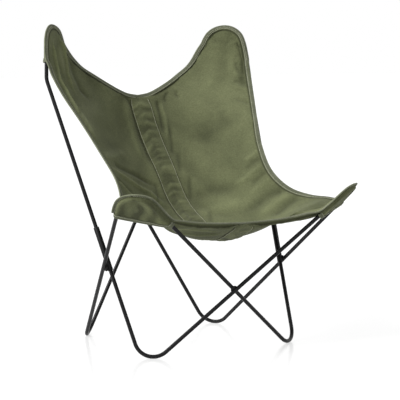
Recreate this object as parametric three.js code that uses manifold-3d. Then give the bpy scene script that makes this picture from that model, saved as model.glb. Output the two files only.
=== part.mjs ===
// Butterfly sling chair: a canvas sling hung on four hairpin tips of a bent rod frame.
// Millimetres, +Z up, the sitter faces -Y, the origin lies on the floor under the middle.
import * as THREE from 'three';
import { mergeVertices } from 'three/addons/utils/BufferGeometryUtils.js';
import Module from 'manifold-3d';

const wasm = await Module();
wasm.setup();

// Rod stock and fits
const rodDiameter = 11;
const touchGap = 0.3;
const rodSides = 12;
const footRings = 9;
const kinkRings = 3;

// Feet: each foot is a rounded V whose legs would meet below the floor. The back feet stand
// where the legs of the front tips just clear the side sleeves, so their span is worked out.
const frontFootHalfSpan = 251.5;
const footHalfDepth = 212;
const footBendRadius = 52;
const footFlatDepth = 0.4;

// Front tips: each is a hairpin bend that leans out over the feet
const frontTipHalfSpan = 388;
const frontTipReach = 379.2;
const frontTipMeetHeight = 506.7;
const frontTipBendRadius = 48.3;

// Back tips: the hairpin legs kink and stand more upright above the kinks
const sideKinkHalfSpan = 344;
const sideKinkDepth = 190.6;
const sideKinkHeight = 749;
const backKinkHalfSpan = 219;
const backKinkDepth = 303.9;
const backKinkHeight = 736.7;
const kinkBendRadius = 60;
const backTipHalfSpan = 306;
const backTipDepth = 261.7;
const backTipMeetHeight = 1031.3;
const backTipBendRadius = 54;

// The two rod loops lap at their four crossings, this far clear of each other
const crossGap = 1.2;

// Sleeves that join the upper hairpins to the lower rods
const sleeveDiameter = 16;
const sleeveBoreGap = 0.3;
const sleeveLength = 128;
const sleeveBelowSideCrossing = 11;
const sleeveAboveBackCrossing = 26;
const stubDepth = 58;
const buttGap = 1;
const sleeveChamfer = 1;
const sleeveSides = 16;

// Weld beads at the crossings
const weldSpread = 11;
const weldThickness = 5;
const weldSegments = 16;

// Canvas
const clothThickness = 2;
const hemWidth = 8.4;
const hemThickness = 4.6;
const rodEase = 0.1;
const rodWrap = 3;
const seamStandoff = 7.5;
const tipSag = 1.2;
const backPocketSideDepth = 112;
const backPocketInnerDepth = 112;
const frontPocketSideDepth = 84;
const frontPocketInnerDepth = 130;
const pocketHemWidth = 13;
const pocketHemThickness = 3;
const bandWidth = 68;
const bandThickness = 1.2;
const earFoldHeight = 4;
const waistFoldHeight = 3.4;
const seatFoldHeight = 3;

// Where the free hems and the centre line run, as shares of the foot span, depth and kink height
const sideHemShares = [
  [1.367, 0.858, 1.048], [1.352, 0.811, 1.021], [1.285, 0.623, 0.943], [1.172, 0.321, 0.84],
  [1.078, 0.033, 0.74], [1.031, -0.33, 0.641], [1.105, -0.637, 0.583], [1.235, -0.905, 0.559],
  [1.36, -1.06, 0.553]];
const backHemShares = [
  [0.887, 1.42, 1.124], [0.797, 1.41, 1.084], [0.695, 1.387, 1.048], [0.57, 1.344, 1.015],
  [0.438, 1.311, 0.985], [0.29, 1.3, 0.959], [0.14, 1.295, 0.938], [0, 1.292, 0.931]];
const frontHemShares = [
  [0.79, -1.625, 0.507], [0.6, -1.6, 0.501], [0.4, -1.592, 0.498], [0.2, -1.592, 0.496], [0, -1.594, 0.495]];
const centreLineShares = [
  [1.292, 0.931], [0.934, 0.778], [0.538, 0.651], [0.17, 0.533], [-0.08, 0.484], [-0.26, 0.463],
  [-0.58, 0.429], [-0.9, 0.412], [-1.12, 0.419], [-1.27, 0.436], [-1.43, 0.46], [-1.594, 0.495]];
// How far along the free side hem the ends of the centre line are paired
const centreTopShare = 0.36;
const centreFrontShare = 0.93;
// How round the sling is across its width: 1 is straight, 2 is a parabola
const sectionRoundness = 1.75;
const frontRoundShare = 0.5;
const frontRoundRun = 3;
// How far the first and last rows lean away from the hems beside the centre line
const cornerInsetShare = 0.22;
// Inner nodes between the rod line and the spine of each half section
const spreadCount = 4;
const backHemSections = 5;
const centreSections = 11;
const frontHemSections = 5;
const backWrapSections = 4;
const frontWrapSections = 3;
const bendStations = 5;
const legStations = 3;

// Where the folds lie: middle and width, as shares of the way across or down a half
const earFoldShares = [[0.34, 0.07], [0.46, 0.06], [0.58, 0.07]];
const earFoldReachShares = [0.12, 0.13];
const waistFoldShares = [0.16, 0.13];
const waistFoldReachShares = [0.66, 0.17];
const seatFoldShares = [0.34, 0.13];
const seatFoldReachShares = [0.84, 0.1];
const bandEdgeShare = 0.86;
const foldRunShare = 7;

const rodRadius = rodDiameter / 2;
const sleeveRadius = sleeveDiameter / 2;
const tipMargin = seamStandoff + touchGap + hemWidth;
const clothLift = rodRadius + touchGap + rodEase + clothThickness / 2;
const seamLift = (touchGap + clothThickness) / 2;

const powderCoat = { color: 0x17181a, roughness: 0.42, metalness: 0.35 };
const bareWeld = { color: 0x17181a, roughness: 0.55, metalness: 0.3 };
const canvas = { color: 0x68704e, roughness: 0.95, metalness: 0 };
const hemCanvas = { color: 0x757d5a, roughness: 0.95, metalness: 0 };

const chair = new THREE.Group();

function vec(x, y, z) {
  return new THREE.Vector3(x, y, z);
}

function addPiece(name, geometry, look) {
  const piece = new THREE.Mesh(geometry, new THREE.MeshStandardMaterial(look));
  piece.name = name;
  chair.add(piece);
  return piece;
}

function toSolid(geometry) {
  const bare = geometry.clone();
  bare.deleteAttribute('normal');
  bare.deleteAttribute('uv');
  const merged = mergeVertices(bare);
  const mesh = new wasm.Mesh({
    numProp: 3,
    vertProperties: new Float32Array(merged.attributes.position.array),
    triVerts: new Uint32Array(merged.index.array),
  });
  return new wasm.Manifold(mesh);
}

function toGeometry(solid) {
  const mesh = solid.getMesh();
  const geometry = new THREE.BufferGeometry();
  geometry.setAttribute('position', new THREE.BufferAttribute(mesh.vertProperties, 3));
  geometry.setIndex(new THREE.BufferAttribute(mesh.triVerts, 1));
  geometry.computeVertexNormals();
  return geometry;
}

// The round bend that replaces the corner at b between a and c
function bendAt(a, b, c, radius) {
  const back = a.clone().sub(b).normalize();
  const ahead = c.clone().sub(b).normalize();
  const half = back.angleTo(ahead) / 2;
  const middle = back.clone().add(ahead).normalize();
  const centre = b.clone().addScaledVector(middle, radius / Math.sin(half));
  const reach = radius / Math.tan(half);
  const from = b.clone().addScaledVector(back, reach);
  const to = b.clone().addScaledVector(ahead, reach);
  return { centre, middle, half, from, to, radius, back, ahead };
}

// Height of a foot's corner that puts the underside of its bend one flat below the floor
function settledFoot(foot, legA, legB) {
  const settled = foot.clone();
  for (let pass = 0; pass < 8; pass += 1) {
    const bend = bendAt(legA, settled, legB, footBendRadius);
    const across = bend.back.clone().cross(bend.ahead).normalize();
    const dip = footBendRadius * Math.sqrt(1 - across.z * across.z);
    const lowest = bend.centre.z - dip - rodRadius;
    settled.z -= lowest + footFlatDepth;
  }
  return settled;
}

// A rod path made of straight runs and round bends, stepped only where it bends
class RodPath extends THREE.Curve {
  constructor(corners, bends) {
    super();
    this.stations = [];
    const last = corners.length - 1;
    this.push(corners[0], corners[1].clone().sub(corners[0]).normalize());
    for (let i = 1; i < last; i += 1) {
      const [radius, rings] = bends[i - 1];
      this.addBend(bendAt(corners[i - 1], corners[i], corners[i + 1], radius), rings);
    }
    this.push(corners[last], corners[last].clone().sub(corners[last - 1]).normalize());
  }

  push(point, tangent) {
    this.stations.push({ point: point.clone(), tangent: tangent.clone() });
  }

  addBend(bend, rings) {
    const turn = Math.PI - 2 * bend.half;
    const axis = bend.back.clone().cross(bend.ahead).normalize();
    const spoke = bend.from.clone().sub(bend.centre);
    for (let i = 0; i <= rings; i += 1) {
      const angle = -turn * i / rings;
      const point = spoke.clone().applyAxisAngle(axis, angle).add(bend.centre);
      this.push(point, bend.back.clone().negate().applyAxisAngle(axis, angle));
    }
  }

  get steps() {
    return this.stations.length - 1;
  }

  at(share, key) {
    const index = Math.round(share * this.steps);
    return this.stations[index][key].clone();
  }

  getPointAt(share) {
    return this.at(share, 'point');
  }

  getTangentAt(share) {
    return this.at(share, 'tangent');
  }
}

function rodGeometry(path, radius, sides) {
  const section = new THREE.Shape();
  section.absarc(0, 0, radius, 0, 2 * Math.PI, false);
  return new THREE.ExtrudeGeometry(section, {
    steps: path.steps,
    curveSegments: sides,
    bevelEnabled: false,
    extrudePath: path,
  });
}

// The corner points of one loop: it stands on the foot of one side in front and the other
// side behind, and its tips lie across from them. The other loop is its mirror image, set
// back by the lap so that the two pass each other at the crossings.
function loopCorners(mirror, lap, backFootHalfSpan) {
  const move = vec(0, mirror ? lap / 2 : -lap / 2, 0);
  const place = (x, y, z) => vec(mirror ? -x : x, y, z).add(move);
  const frontFoot = place(-frontFootHalfSpan, -footHalfDepth, 0);
  const backFoot = place(backFootHalfSpan, footHalfDepth, 0);
  const frontTip = place(frontTipHalfSpan, -frontTipReach, frontTipMeetHeight);
  const sideKink = place(-sideKinkHalfSpan, sideKinkDepth, sideKinkHeight);
  const backKink = place(-backKinkHalfSpan, backKinkDepth, backKinkHeight);
  const backTip = place(-backTipHalfSpan, backTipDepth, backTipMeetHeight);
  return {
    frontFoot: settledFoot(frontFoot, sideKink, frontTip),
    backFoot: settledFoot(backFoot, frontTip, backKink),
    frontTip, sideKink, backKink, backTip, move,
  };
}

// The closest points of two straight legs, each given by two points. The clearance counts
// as negative where the second leg lies on the wrong side of the first.
function crossing(a, b, c, d, outside) {
  const u = b.clone().sub(a).normalize();
  const w = d.clone().sub(c).normalize();
  const gap = a.clone().sub(c);
  const uw = u.dot(w);
  const base = 1 - uw * uw;
  const s = (uw * w.dot(gap) - u.dot(gap)) / base;
  const t = (w.dot(gap) - uw * u.dot(gap)) / base;
  const first = a.clone().addScaledVector(u, s);
  const second = c.clone().addScaledVector(w, t);
  const apart = second.clone().sub(first);
  return { first, second, u, w, distance: apart.length() * Math.sign(apart.dot(outside)), along: s };
}

function sideCrossing(loop, other) {
  const outside = vec(Math.sign(loop.frontFoot.x), 0, 0);
  return crossing(loop.frontFoot, loop.sideKink, other.backFoot, other.frontTip, outside);
}

function frontCrossing(loop, other) {
  return crossing(loop.frontFoot, loop.frontTip, other.frontFoot, other.frontTip, other.move);
}

// The value at which a nearly straight-line measure reaches its goal, found from two guesses
function solveFor(goal, measure, guess, step) {
  let [x, next] = [guess, guess + step];
  let y = measure(x);
  for (let pass = 0; pass < 12 && Math.abs(next - x) > 1e-9 * Math.abs(step); pass += 1) {
    const reached = measure(next);
    const slope = (reached - y) / (next - x);
    [x, y] = [next, reached];
    if (slope !== 0) next = x + (goal - reached) / slope;
  }
  return next;
}

const frontApart = rodDiameter + crossGap;
const sideApart = (sleeveDiameter + rodDiameter) / 2 + crossGap;
const bothLoops = (lap, span) => [loopCorners(false, lap, span), loopCorners(true, lap, span)];
const lapFor = (span) => (
  solveFor(frontApart, (lap) => frontCrossing(...bothLoops(lap, span)).distance, rodDiameter, crossGap));
const tighterSide = (loops) => (
  Math.min(sideCrossing(loops[0], loops[1]).distance, sideCrossing(loops[1], loops[0]).distance));
const backFootHalfSpan = solveFor(
  sideApart, (span) => tighterSide(bothLoops(lapFor(span), span)), frontFootHalfSpan, rodDiameter);
const [loopA, loopB] = bothLoops(lapFor(backFootHalfSpan), backFootHalfSpan);

const crossingLeft = sideCrossing(loopA, loopB);
const crossingRight = sideCrossing(loopB, loopA);
const crossingFront = frontCrossing(loopA, loopB);
const crossingBackA = crossing(loopA.backFoot, loopA.backKink, loopB.backFoot, loopB.backKink, loopB.move);
const crossingBackB = crossing(loopB.backFoot, loopB.backKink, loopA.backFoot, loopA.backKink, loopA.move);

// A sleeve and the two rod ends inside it, on a leg that starts at the given foot corner
function sleeveOn(foot, kink, startAlong) {
  const dir = kink.clone().sub(foot).normalize();
  const at = (along) => foot.clone().addScaledVector(dir, along);
  return {
    dir,
    bottom: at(startAlong),
    top: at(startAlong + sleeveLength),
    lowerEnd: at(startAlong + stubDepth),
    upperEnd: at(startAlong + stubDepth + buttGap),
  };
}

function loopSleeves(loop, sideCross, backCross) {
  const side = sleeveOn(loop.frontFoot, loop.sideKink, sideCross.along - sleeveBelowSideCrossing);
  const back = sleeveOn(loop.backFoot, loop.backKink, backCross.along + sleeveAboveBackCrossing);
  return { side, back };
}

const sleevesA = loopSleeves(loopA, crossingLeft, crossingBackA);
const sleevesB = loopSleeves(loopB, crossingRight, crossingBackB);

// A sleeve is a turned tube with a small chamfer at each rim
function sleeveGeometry(sleeve) {
  const bore = (rodRadius + sleeveBoreGap) / Math.cos(Math.PI / sleeveSides);
  const lip = sleeveRadius - sleeveChamfer;
  const profile = [
    new THREE.Vector2(bore, 0),
    new THREE.Vector2(lip, 0),
    new THREE.Vector2(sleeveRadius, sleeveChamfer),
    new THREE.Vector2(sleeveRadius, sleeveLength - sleeveChamfer),
    new THREE.Vector2(lip, sleeveLength),
    new THREE.Vector2(bore, sleeveLength),
    new THREE.Vector2(bore, 0),
  ];
  const geometry = new THREE.LatheGeometry(profile, sleeveSides);
  const turn = new THREE.Quaternion().setFromUnitVectors(vec(0, 1, 0), sleeve.dir);
  geometry.applyQuaternion(turn);
  geometry.translate(sleeve.bottom.x, sleeve.bottom.y, sleeve.bottom.z);
  return geometry;
}

function lowerRodGeometry(loop, sleeves) {
  const corners = [sleeves.side.lowerEnd, loop.frontFoot, loop.frontTip, loop.backFoot, sleeves.back.lowerEnd];
  const foot = [footBendRadius, footRings];
  const bends = [foot, [frontTipBendRadius, 2 * bendStations], foot];
  const rod = toSolid(rodGeometry(new RodPath(corners, bends), rodRadius, rodSides));
  const floorSize = 2 * (frontTipHalfSpan + frontTipReach);
  const floor = new THREE.BoxGeometry(floorSize, floorSize, footBendRadius);
  floor.translate(0, 0, -footBendRadius / 2);
  return toGeometry(rod.subtract(toSolid(floor)));
}

function hairpinGeometry(loop, sleeves) {
  const corners = [sleeves.side.upperEnd, loop.sideKink, loop.backTip, loop.backKink, sleeves.back.upperEnd];
  const kink = [kinkBendRadius, kinkRings];
  const bends = [kink, [backTipBendRadius, 2 * bendStations], kink];
  return rodGeometry(new RodPath(corners, bends), rodRadius, rodSides);
}

// A weld bead fills the notches between two crossing rods, one of which may carry a sleeve
function weldGeometry(cross, firstRadius, secondRadius) {
  const normal = cross.second.clone().sub(cross.first).normalize();
  const bisector = cross.u.clone().add(cross.w).normalize();
  const inner = cross.first.clone().addScaledVector(normal, firstRadius);
  const outer = cross.second.clone().addScaledVector(normal, -secondRadius);
  const middle = inner.clone().lerp(outer, 0.5);
  const bead = new THREE.SphereGeometry(1, weldSegments, weldSegments / 2);
  bead.scale(weldSpread, weldSpread, weldThickness + inner.distanceTo(outer) / 2);
  const side = bisector.clone().cross(normal).normalize();
  bead.applyMatrix4(new THREE.Matrix4().makeBasis(side, bisector, normal));
  bead.translate(middle.x, middle.y, middle.z);
  const bar = (centre, dir, clearRadius) => {
    const radius = clearRadius / Math.cos(Math.PI / (2 * rodSides));
    const geometry = new THREE.CylinderGeometry(radius, radius, 4 * weldSpread, 2 * rodSides);
    geometry.applyQuaternion(new THREE.Quaternion().setFromUnitVectors(vec(0, 1, 0), dir));
    geometry.translate(centre.x, centre.y, centre.z);
    return toSolid(geometry);
  };
  const solid = toSolid(bead)
    .subtract(bar(cross.first, cross.u, firstRadius + touchGap))
    .subtract(bar(cross.second, cross.w, secondRadius + touchGap));
  return toGeometry(solid);
}

addPiece('lower_rod_a', lowerRodGeometry(loopA, sleevesA), powderCoat);
addPiece('lower_rod_b', lowerRodGeometry(loopB, sleevesB), powderCoat);
addPiece('back_hairpin_left', hairpinGeometry(loopA, sleevesA), powderCoat);
addPiece('back_hairpin_right', hairpinGeometry(loopB, sleevesB), powderCoat);
addPiece('sleeve_side_left', sleeveGeometry(sleevesA.side), powderCoat);
addPiece('sleeve_side_right', sleeveGeometry(sleevesB.side), powderCoat);
addPiece('sleeve_back_left', sleeveGeometry(sleevesA.back), powderCoat);
addPiece('sleeve_back_right', sleeveGeometry(sleevesB.back), powderCoat);
addPiece('weld_left', weldGeometry(crossingLeft, sleeveRadius, rodRadius), bareWeld);
addPiece('weld_right', weldGeometry(crossingRight, sleeveRadius, rodRadius), bareWeld);
addPiece('weld_front', weldGeometry(crossingFront, rodRadius, rodRadius), bareWeld);
addPiece('weld_back', weldGeometry(crossingBackA, rodRadius, rodRadius), bareWeld);

// The frame of a hairpin tip: its flat plane, its middle line and its two legs.
// The normal points away from the sitter.
function tipFrame(corner, sideEnd, innerEnd, radius) {
  const bend = bendAt(sideEnd, corner, innerEnd, radius);
  const down = bend.middle.clone();
  const normal = bend.back.clone().cross(bend.ahead).normalize();
  const outward = vec(corner.x, corner.y, 0);
  if (normal.dot(outward) < 0) normal.negate();
  const toSide = bend.back.clone().addScaledVector(down, -bend.back.dot(down)).normalize();
  return { ...bend, down, normal, toSide, arcHalf: radius * (Math.PI / 2 - bend.half) };
}

// A point beside the hairpin's middle line: how far it is from the apex along the rod,
// how far outside the rod's centre line, and how far behind the hairpin's plane
function besideRod(tip, along, outside, behind) {
  const sign = Math.sign(along) || 1;
  const onBend = Math.min(Math.abs(along), tip.arcHalf);
  const angle = sign * onBend / tip.radius;
  const spoke = tip.down.clone().multiplyScalar(-Math.cos(angle));
  spoke.addScaledVector(tip.toSide, Math.sin(angle));
  const leg = tip.down.clone().multiplyScalar(Math.cos(tip.half));
  leg.addScaledVector(tip.toSide, sign * Math.sin(tip.half));
  return tip.centre.clone()
    .addScaledVector(spoke, tip.radius + outside)
    .addScaledVector(leg, Math.abs(along) - onBend)
    .addScaledVector(tip.normal, behind);
}

// The middle line of the hairpin at the level of a station on its rod
function spineAt(tip, along, behind) {
  const rod = besideRod(tip, along, 0, 0).sub(tip.centre);
  const level = Math.max(0, rod.dot(tip.down));
  return tip.centre.clone().addScaledVector(tip.down, level).addScaledVector(tip.normal, behind);
}

function hemCurve(startTip, startSign, tightRuns, freePoints, endTip, endSign, endRuns) {
  const points = tightRuns.map((along) => besideRod(startTip, startSign * along, tipMargin, 0));
  points.push(...freePoints);
  if (endTip) {
    const ends = endRuns.map((along) => besideRod(endTip, endSign * along, tipMargin, 0));
    points.push(...ends.reverse());
  }
  const curve = new THREE.CatmullRomCurve3(points, false, 'centripetal');
  curve.arcLengthDivisions = 600;
  return curve;
}

// How far the hems stay tight along the legs below each bend, as shares of the pocket depth
const backSideTightShare = 0.42;
const backInnerTightShare = 0.06;
const frontSideTightShare = 0.4;
const frontInnerTightShare = 0.62;

function tightRuns(tip, extra) {
  return [0, tip.arcHalf / 3, 2 * tip.arcHalf / 3, tip.arcHalf, tip.arcHalf + extra];
}

const smooth = (x) => THREE.MathUtils.smoothstep(x, 0, 1);
const lerp = THREE.MathUtils.lerp;

// Stations along a hairpin from its apex to the pocket opening, the last run being its hem
function pocketStations(tip, depth) {
  const stations = [];
  for (let i = 0; i <= bendStations; i += 1) stations.push(tip.arcHalf * i / bendStations);
  const run = depth - tip.radius;
  for (let i = 1; i <= legStations; i += 1) {
    stations.push(tip.arcHalf + (run - pocketHemWidth) * i / legStations);
  }
  stations.push(tip.arcHalf + run);
  return stations;
}

// Length of the hem beside a length of rod, and the other way round
function hemLength(tip, along) {
  return along + Math.min(along, tip.arcHalf) * tipMargin / tip.radius;
}

function rodLength(tip, length) {
  return length - tip.arcHalf * tipMargin / tip.radius;
}

// One half of the sling: sections that run from the side hem to the back hem, the centre
// line or the front hem, from the apex of the back tip to the apex of the front tip
function halfSling(sign) {
  const backLoop = sign > 0 ? loopB : loopA;
  const frontLoop = sign > 0 ? loopA : loopB;
  const backTip = tipFrame(backLoop.backTip, backLoop.sideKink, backLoop.backKink, backTipBendRadius);
  const frontTip = tipFrame(frontLoop.frontTip, frontLoop.backFoot, frontLoop.frontFoot, frontTipBendRadius);
  const spot = (shares, move, follow) => vec(
    sign * shares[0] * frontFootHalfSpan,
    shares[1] * footHalfDepth,
    shares[2] * sideKinkHeight,
  ).addScaledVector(move, Math.min(1, follow));
  const last = sideHemShares.length - 1;
  const sideFree = sideHemShares.map((shares, i) => (
    spot(shares, backLoop.move.clone().lerp(frontLoop.move, i / last), 1)));
  const backFree = backHemShares.map((shares) => spot(shares, backLoop.move, shares[0]));
  const frontFree = frontHemShares.map((shares) => spot(shares, frontLoop.move, shares[0]));
  const centreFree = centreLineShares.map((shares) => spot([0, shares[0], shares[1]], backLoop.move, 0));
  const sideHem = hemCurve(
    backTip, 1, tightRuns(backTip, backSideTightShare * backPocketSideDepth), sideFree,
    frontTip, 1, tightRuns(frontTip, frontSideTightShare * frontPocketSideDepth));
  const backHem = hemCurve(
    backTip, -1, tightRuns(backTip, backInnerTightShare * backPocketInnerDepth), backFree);
  const frontHem = hemCurve(
    frontTip, -1, tightRuns(frontTip, frontInnerTightShare * frontPocketInnerDepth), frontFree);
  const centreLine = new THREE.CatmullRomCurve3(centreFree, false, 'centripetal');
  const hemAt = (curve, length) => curve.getPointAt(Math.min(1, length / curve.getLength()));
  const whole = sideHem.getLength();

  const earSections = (tip, sideDepth, innerDepth, sidePlace, innerCurve) => {
    const sideStations = pocketStations(tip, sideDepth);
    const innerStations = pocketStations(tip, innerDepth);
    return sideStations.map((alongSide, i) => ({
      kind: 'ear',
      wrap: 1,
      tip,
      alongSide,
      alongInner: innerStations[i],
      side: hemAt(sideHem, sidePlace(hemLength(tip, alongSide))),
      inner: hemAt(innerCurve, hemLength(tip, innerStations[i])),
      pocketHem: i >= sideStations.length - 2,
    }));
  };
  const backEar = earSections(backTip, backPocketSideDepth, backPocketInnerDepth, (length) => length, backHem);
  const frontEar = earSections(
    frontTip, frontPocketSideDepth, frontPocketInnerDepth, (length) => whole - length, frontHem);
  const backLast = backEar[backEar.length - 1];
  const frontLast = frontEar[frontEar.length - 1];
  const startSide = hemLength(backTip, backLast.alongSide);
  const endSide = whole - hemLength(frontTip, frontLast.alongSide);
  const startInner = hemLength(backTip, backLast.alongInner);
  const endInner = hemLength(frontTip, frontLast.alongInner);

  const middle = [];
  for (let i = 1; i <= backHemSections; i += 1) {
    const share = i / (backHemSections + 1);
    const length = lerp(startInner, backHem.getLength(), share);
    middle.push({
      kind: 'backHem',
      order: i,
      share: centreTopShare * share,
      inner: hemAt(backHem, length),
      tip: backTip,
      alongInner: rodLength(backTip, length),
      wrap: 1 - smooth(i / backWrapSections),
    });
  }
  for (let i = 0; i <= centreSections; i += 1) {
    const share = i / centreSections;
    const inner = centreLine.getPointAt(share);
    middle.push({ kind: 'centre', wrap: 0, share: lerp(centreTopShare, centreFrontShare, share), inner, centre: share });
  }
  for (let i = frontHemSections; i >= 1; i -= 1) {
    const share = i / (frontHemSections + 1);
    const length = lerp(endInner, frontHem.getLength(), share);
    middle.push({
      kind: 'frontHem',
      order: i,
      share: lerp(1, centreFrontShare, share),
      inner: hemAt(frontHem, length),
      tip: frontTip,
      alongInner: rodLength(frontTip, length),
      wrap: 1 - smooth(i / frontWrapSections),
    });
  }
  middle.forEach((section) => {
    const length = lerp(startSide, endSide, section.share);
    section.side = hemAt(sideHem, length);
    if (section.wrap > 0) {
      section.alongSide = rodLength(section.tip, section.tip === backTip ? length : whole - length);
    }
  });
  const sections = [...backEar, ...middle, ...frontEar.slice().reverse()];
  const half = { sign, sections, backTip, frontTip, backCount: backEar.length, frontCount: frontEar.length };
  sections.forEach((section, index) => {
    section.sideInward = sideInward(half, index);
    section.innerInward = endInward(half, index);
  });
  return half;
}

function isTight(section) {
  return section.kind === 'ear';
}

// How much of the full roundness a section has: those that end on a hem grow straight
function roundShare(section) {
  if (section.kind === 'ear') return 0;
  const easeIn = (share) => Math.sin(share * Math.PI / 2);
  if (section.kind === 'backHem') return easeIn(section.order / (backHemSections + 1));
  if (section.kind === 'frontHem') return frontRoundShare * easeIn(section.order / (frontHemSections + 1));
  return lerp(frontRoundShare, 1, Math.min(1, (1 - section.centre) * frontRoundRun));
}

// The rise across a section from the inner end at 0 to the side hem at 1
function bowAt(section, rest) {
  return lerp(rest, Math.pow(rest, sectionRoundness), roundShare(section));
}

// The direction from the side hem into the cloth
function sideInward(half, index) {
  const section = half.sections[index];
  if (isTight(section)) {
    return besideRod(section.tip, section.alongSide, 0, 0).sub(section.side).normalize();
  }
  const power = lerp(1, sectionRoundness, roundShare(section));
  const across = section.inner.clone().sub(section.side);
  return vec(across.x, across.y * power, across.z * power).normalize();
}

// The direction from the back or front hem into the cloth
function endInward(half, index) {
  const section = half.sections[index];
  if (isTight(section)) {
    return besideRod(section.tip, -section.alongInner, 0, 0).sub(section.inner).normalize();
  }
  const before = half.sections[index - 1].inner;
  const after = half.sections[index + 1].inner;
  const onEnd = section.centre === 0 || section.centre === 1;
  const along = onEnd ? vec(half.sign, 0, 0) : after.clone().sub(before).normalize();
  const inFront = section.kind === 'frontHem' || section.centre === 1;
  const first = half.sections.findIndex((other) => other.kind === 'centre');
  const goal = half.sections[inFront ? first + centreSections - 2 : first + 2].inner;
  const count = inFront ? frontHemSections : backHemSections;
  const middling = section.kind === 'centre' ? 1 : section.order / (count + 1);
  const into = section.side.clone().lerp(goal, middling).sub(section.inner);
  return into.addScaledVector(along, -into.dot(along)).normalize();
}

// The nodes of one layer of cloth across an ear: the seam, over one leg, the spine, over the
// other leg, the seam. The layer lies in front of the hairpin for -1 and behind it for +1.
function earNodes(section, layer) {
  const { tip } = section;
  const extra = layer > 0 && section.pocketHem ? (pocketHemThickness - clothThickness) / 2 : 0;
  const lift = layer * (clothLift + extra);
  const half = (hem, inward, along) => {
    const seam = hem.clone().addScaledVector(inward, hemWidth + touchGap);
    seam.addScaledVector(tip.normal, layer * (seamLift + extra));
    const clear = (node, step) => {
      const run = node.clone().sub(seam).dot(inward);
      return node.addScaledVector(inward, Math.max(0, step - run));
    };
    const outer = besideRod(tip, along, rodWrap, lift);
    const over = besideRod(tip, along, -rodWrap, lift);
    if (!isTight(section)) {
      clear(outer, seamStandoff - rodWrap);
      clear(over, seamStandoff + rodWrap);
    }
    const spine = spineAt(tip, along, lift - layer * tipSag);
    return { nodes: [seam, outer, over], over, spine };
  };
  const first = half(section.side, section.sideInward, section.alongSide);
  const second = half(section.inner, section.innerInward, -section.alongInner);
  const spine = first.spine.clone().lerp(second.spine, 0.5);
  const fill = (over) => {
    const nodes = [];
    for (let i = 1; i < spreadCount; i += 1) nodes.push(over.clone().lerp(spine, i / spreadCount));
    return nodes;
  };
  const nodes = [
    ...first.nodes, ...fill(first.over), spine, ...fill(second.over).reverse(), ...second.nodes.reverse()];
  return layer < 0 ? pulledTaut(nodes, tip) : nodes;
}

// Cloth under tension spans straight between its seams wherever that clears the rods
function pulledTaut(nodes, tip) {
  const from = nodes[0];
  const span = nodes[nodes.length - 1].clone().sub(from);
  return nodes.map((node) => {
    const share = node.clone().sub(from).dot(span) / span.lengthSq();
    const straight = from.clone().addScaledVector(span, share);
    const rise = straight.sub(node).dot(tip.normal);
    return rise < 0 ? node.clone().addScaledVector(tip.normal, rise) : node;
  });
}

// The nodes of the sling across a section that hangs free. A narrow strip leaves each hem
// squarely, and the cloth between the two strips is bowed.
function spanNodes(half, index) {
  const section = half.sections[index];
  const start = section.side.clone().addScaledVector(section.sideInward, hemWidth + touchGap);
  const end = section.inner.clone();
  const onCentre = section.kind === 'centre';
  const onEnd = section.centre === 0 || section.centre === 1;
  if (!onCentre || onEnd) end.addScaledVector(section.innerInward, hemWidth + touchGap);
  if (onCentre) end.x = half.sign * touchGap / 2;
  const near = seamStandoff - rodWrap;
  const far = seamStandoff + rodWrap;
  const sideStrip = [0, near, far].map((step) => start.clone().addScaledVector(section.sideInward, step));
  const endSteps = onCentre ? [bandWidth / 2, bandWidth / 4, 0] : [far, near, 0];
  const endDir = onCentre ? vec(half.sign, 0, 0) : section.innerInward;
  const inset = onCentre && onEnd ? cornerInsetShare : 0;
  const endStrip = endSteps.map((step) => (
    end.clone().addScaledVector(endDir, step).addScaledVector(section.innerInward, inset * step)));
  const from = sideStrip[2];
  const to = endStrip[0];
  const nodes = sideStrip.slice(0, 2);
  for (let i = 0; i <= 2 * spreadCount; i += 1) {
    const rest = 1 - i / (2 * spreadCount);
    const bow = bowAt(section, rest);
    nodes.push(vec(lerp(to.x, from.x, rest), lerp(to.y, from.y, bow), lerp(to.z, from.z, bow)));
  }
  nodes.push(...endStrip.slice(1));
  return nodes;
}

function sectionNodes(half, index) {
  const section = half.sections[index];
  if (section.wrap === 1) return earNodes(section, -1);
  const free = spanNodes(half, index);
  if (section.wrap === 0) return free;
  const wrapped = earNodes(section, -1);
  return free.map((node, j) => node.lerp(wrapped[j], section.wrap));
}

// Long folds that run down from the back tips and short ones that fan from the side hem
function foldLift(half, index, share) {
  if (isTight(half.sections[index])) return 0;
  const reach = half.sections.length - half.frontCount - half.backCount;
  const span = (index - half.backCount + 1) / (reach + 1);
  const hump = (x, [middle, width]) => Math.exp(-Math.pow((x - middle) / width, 2));
  const [crest, valley, secondCrest] = earFoldShares.map((place) => hump(share, place));
  const tall = hump(span, earFoldReachShares) * (crest - valley + secondCrest);
  const fan = hump(span, waistFoldReachShares) * hump(share, waistFoldShares) * Math.cos(index * Math.PI);
  const seat = hump(span, seatFoldReachShares) * hump(share, seatFoldShares);
  const inner = Math.max(0, bandEdgeShare - share);
  const edge = Math.min(1, foldRunShare * share, foldRunShare * inner);
  return edge * (earFoldHeight * tall + waistFoldHeight * fan + seatFoldHeight * seat);
}

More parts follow.
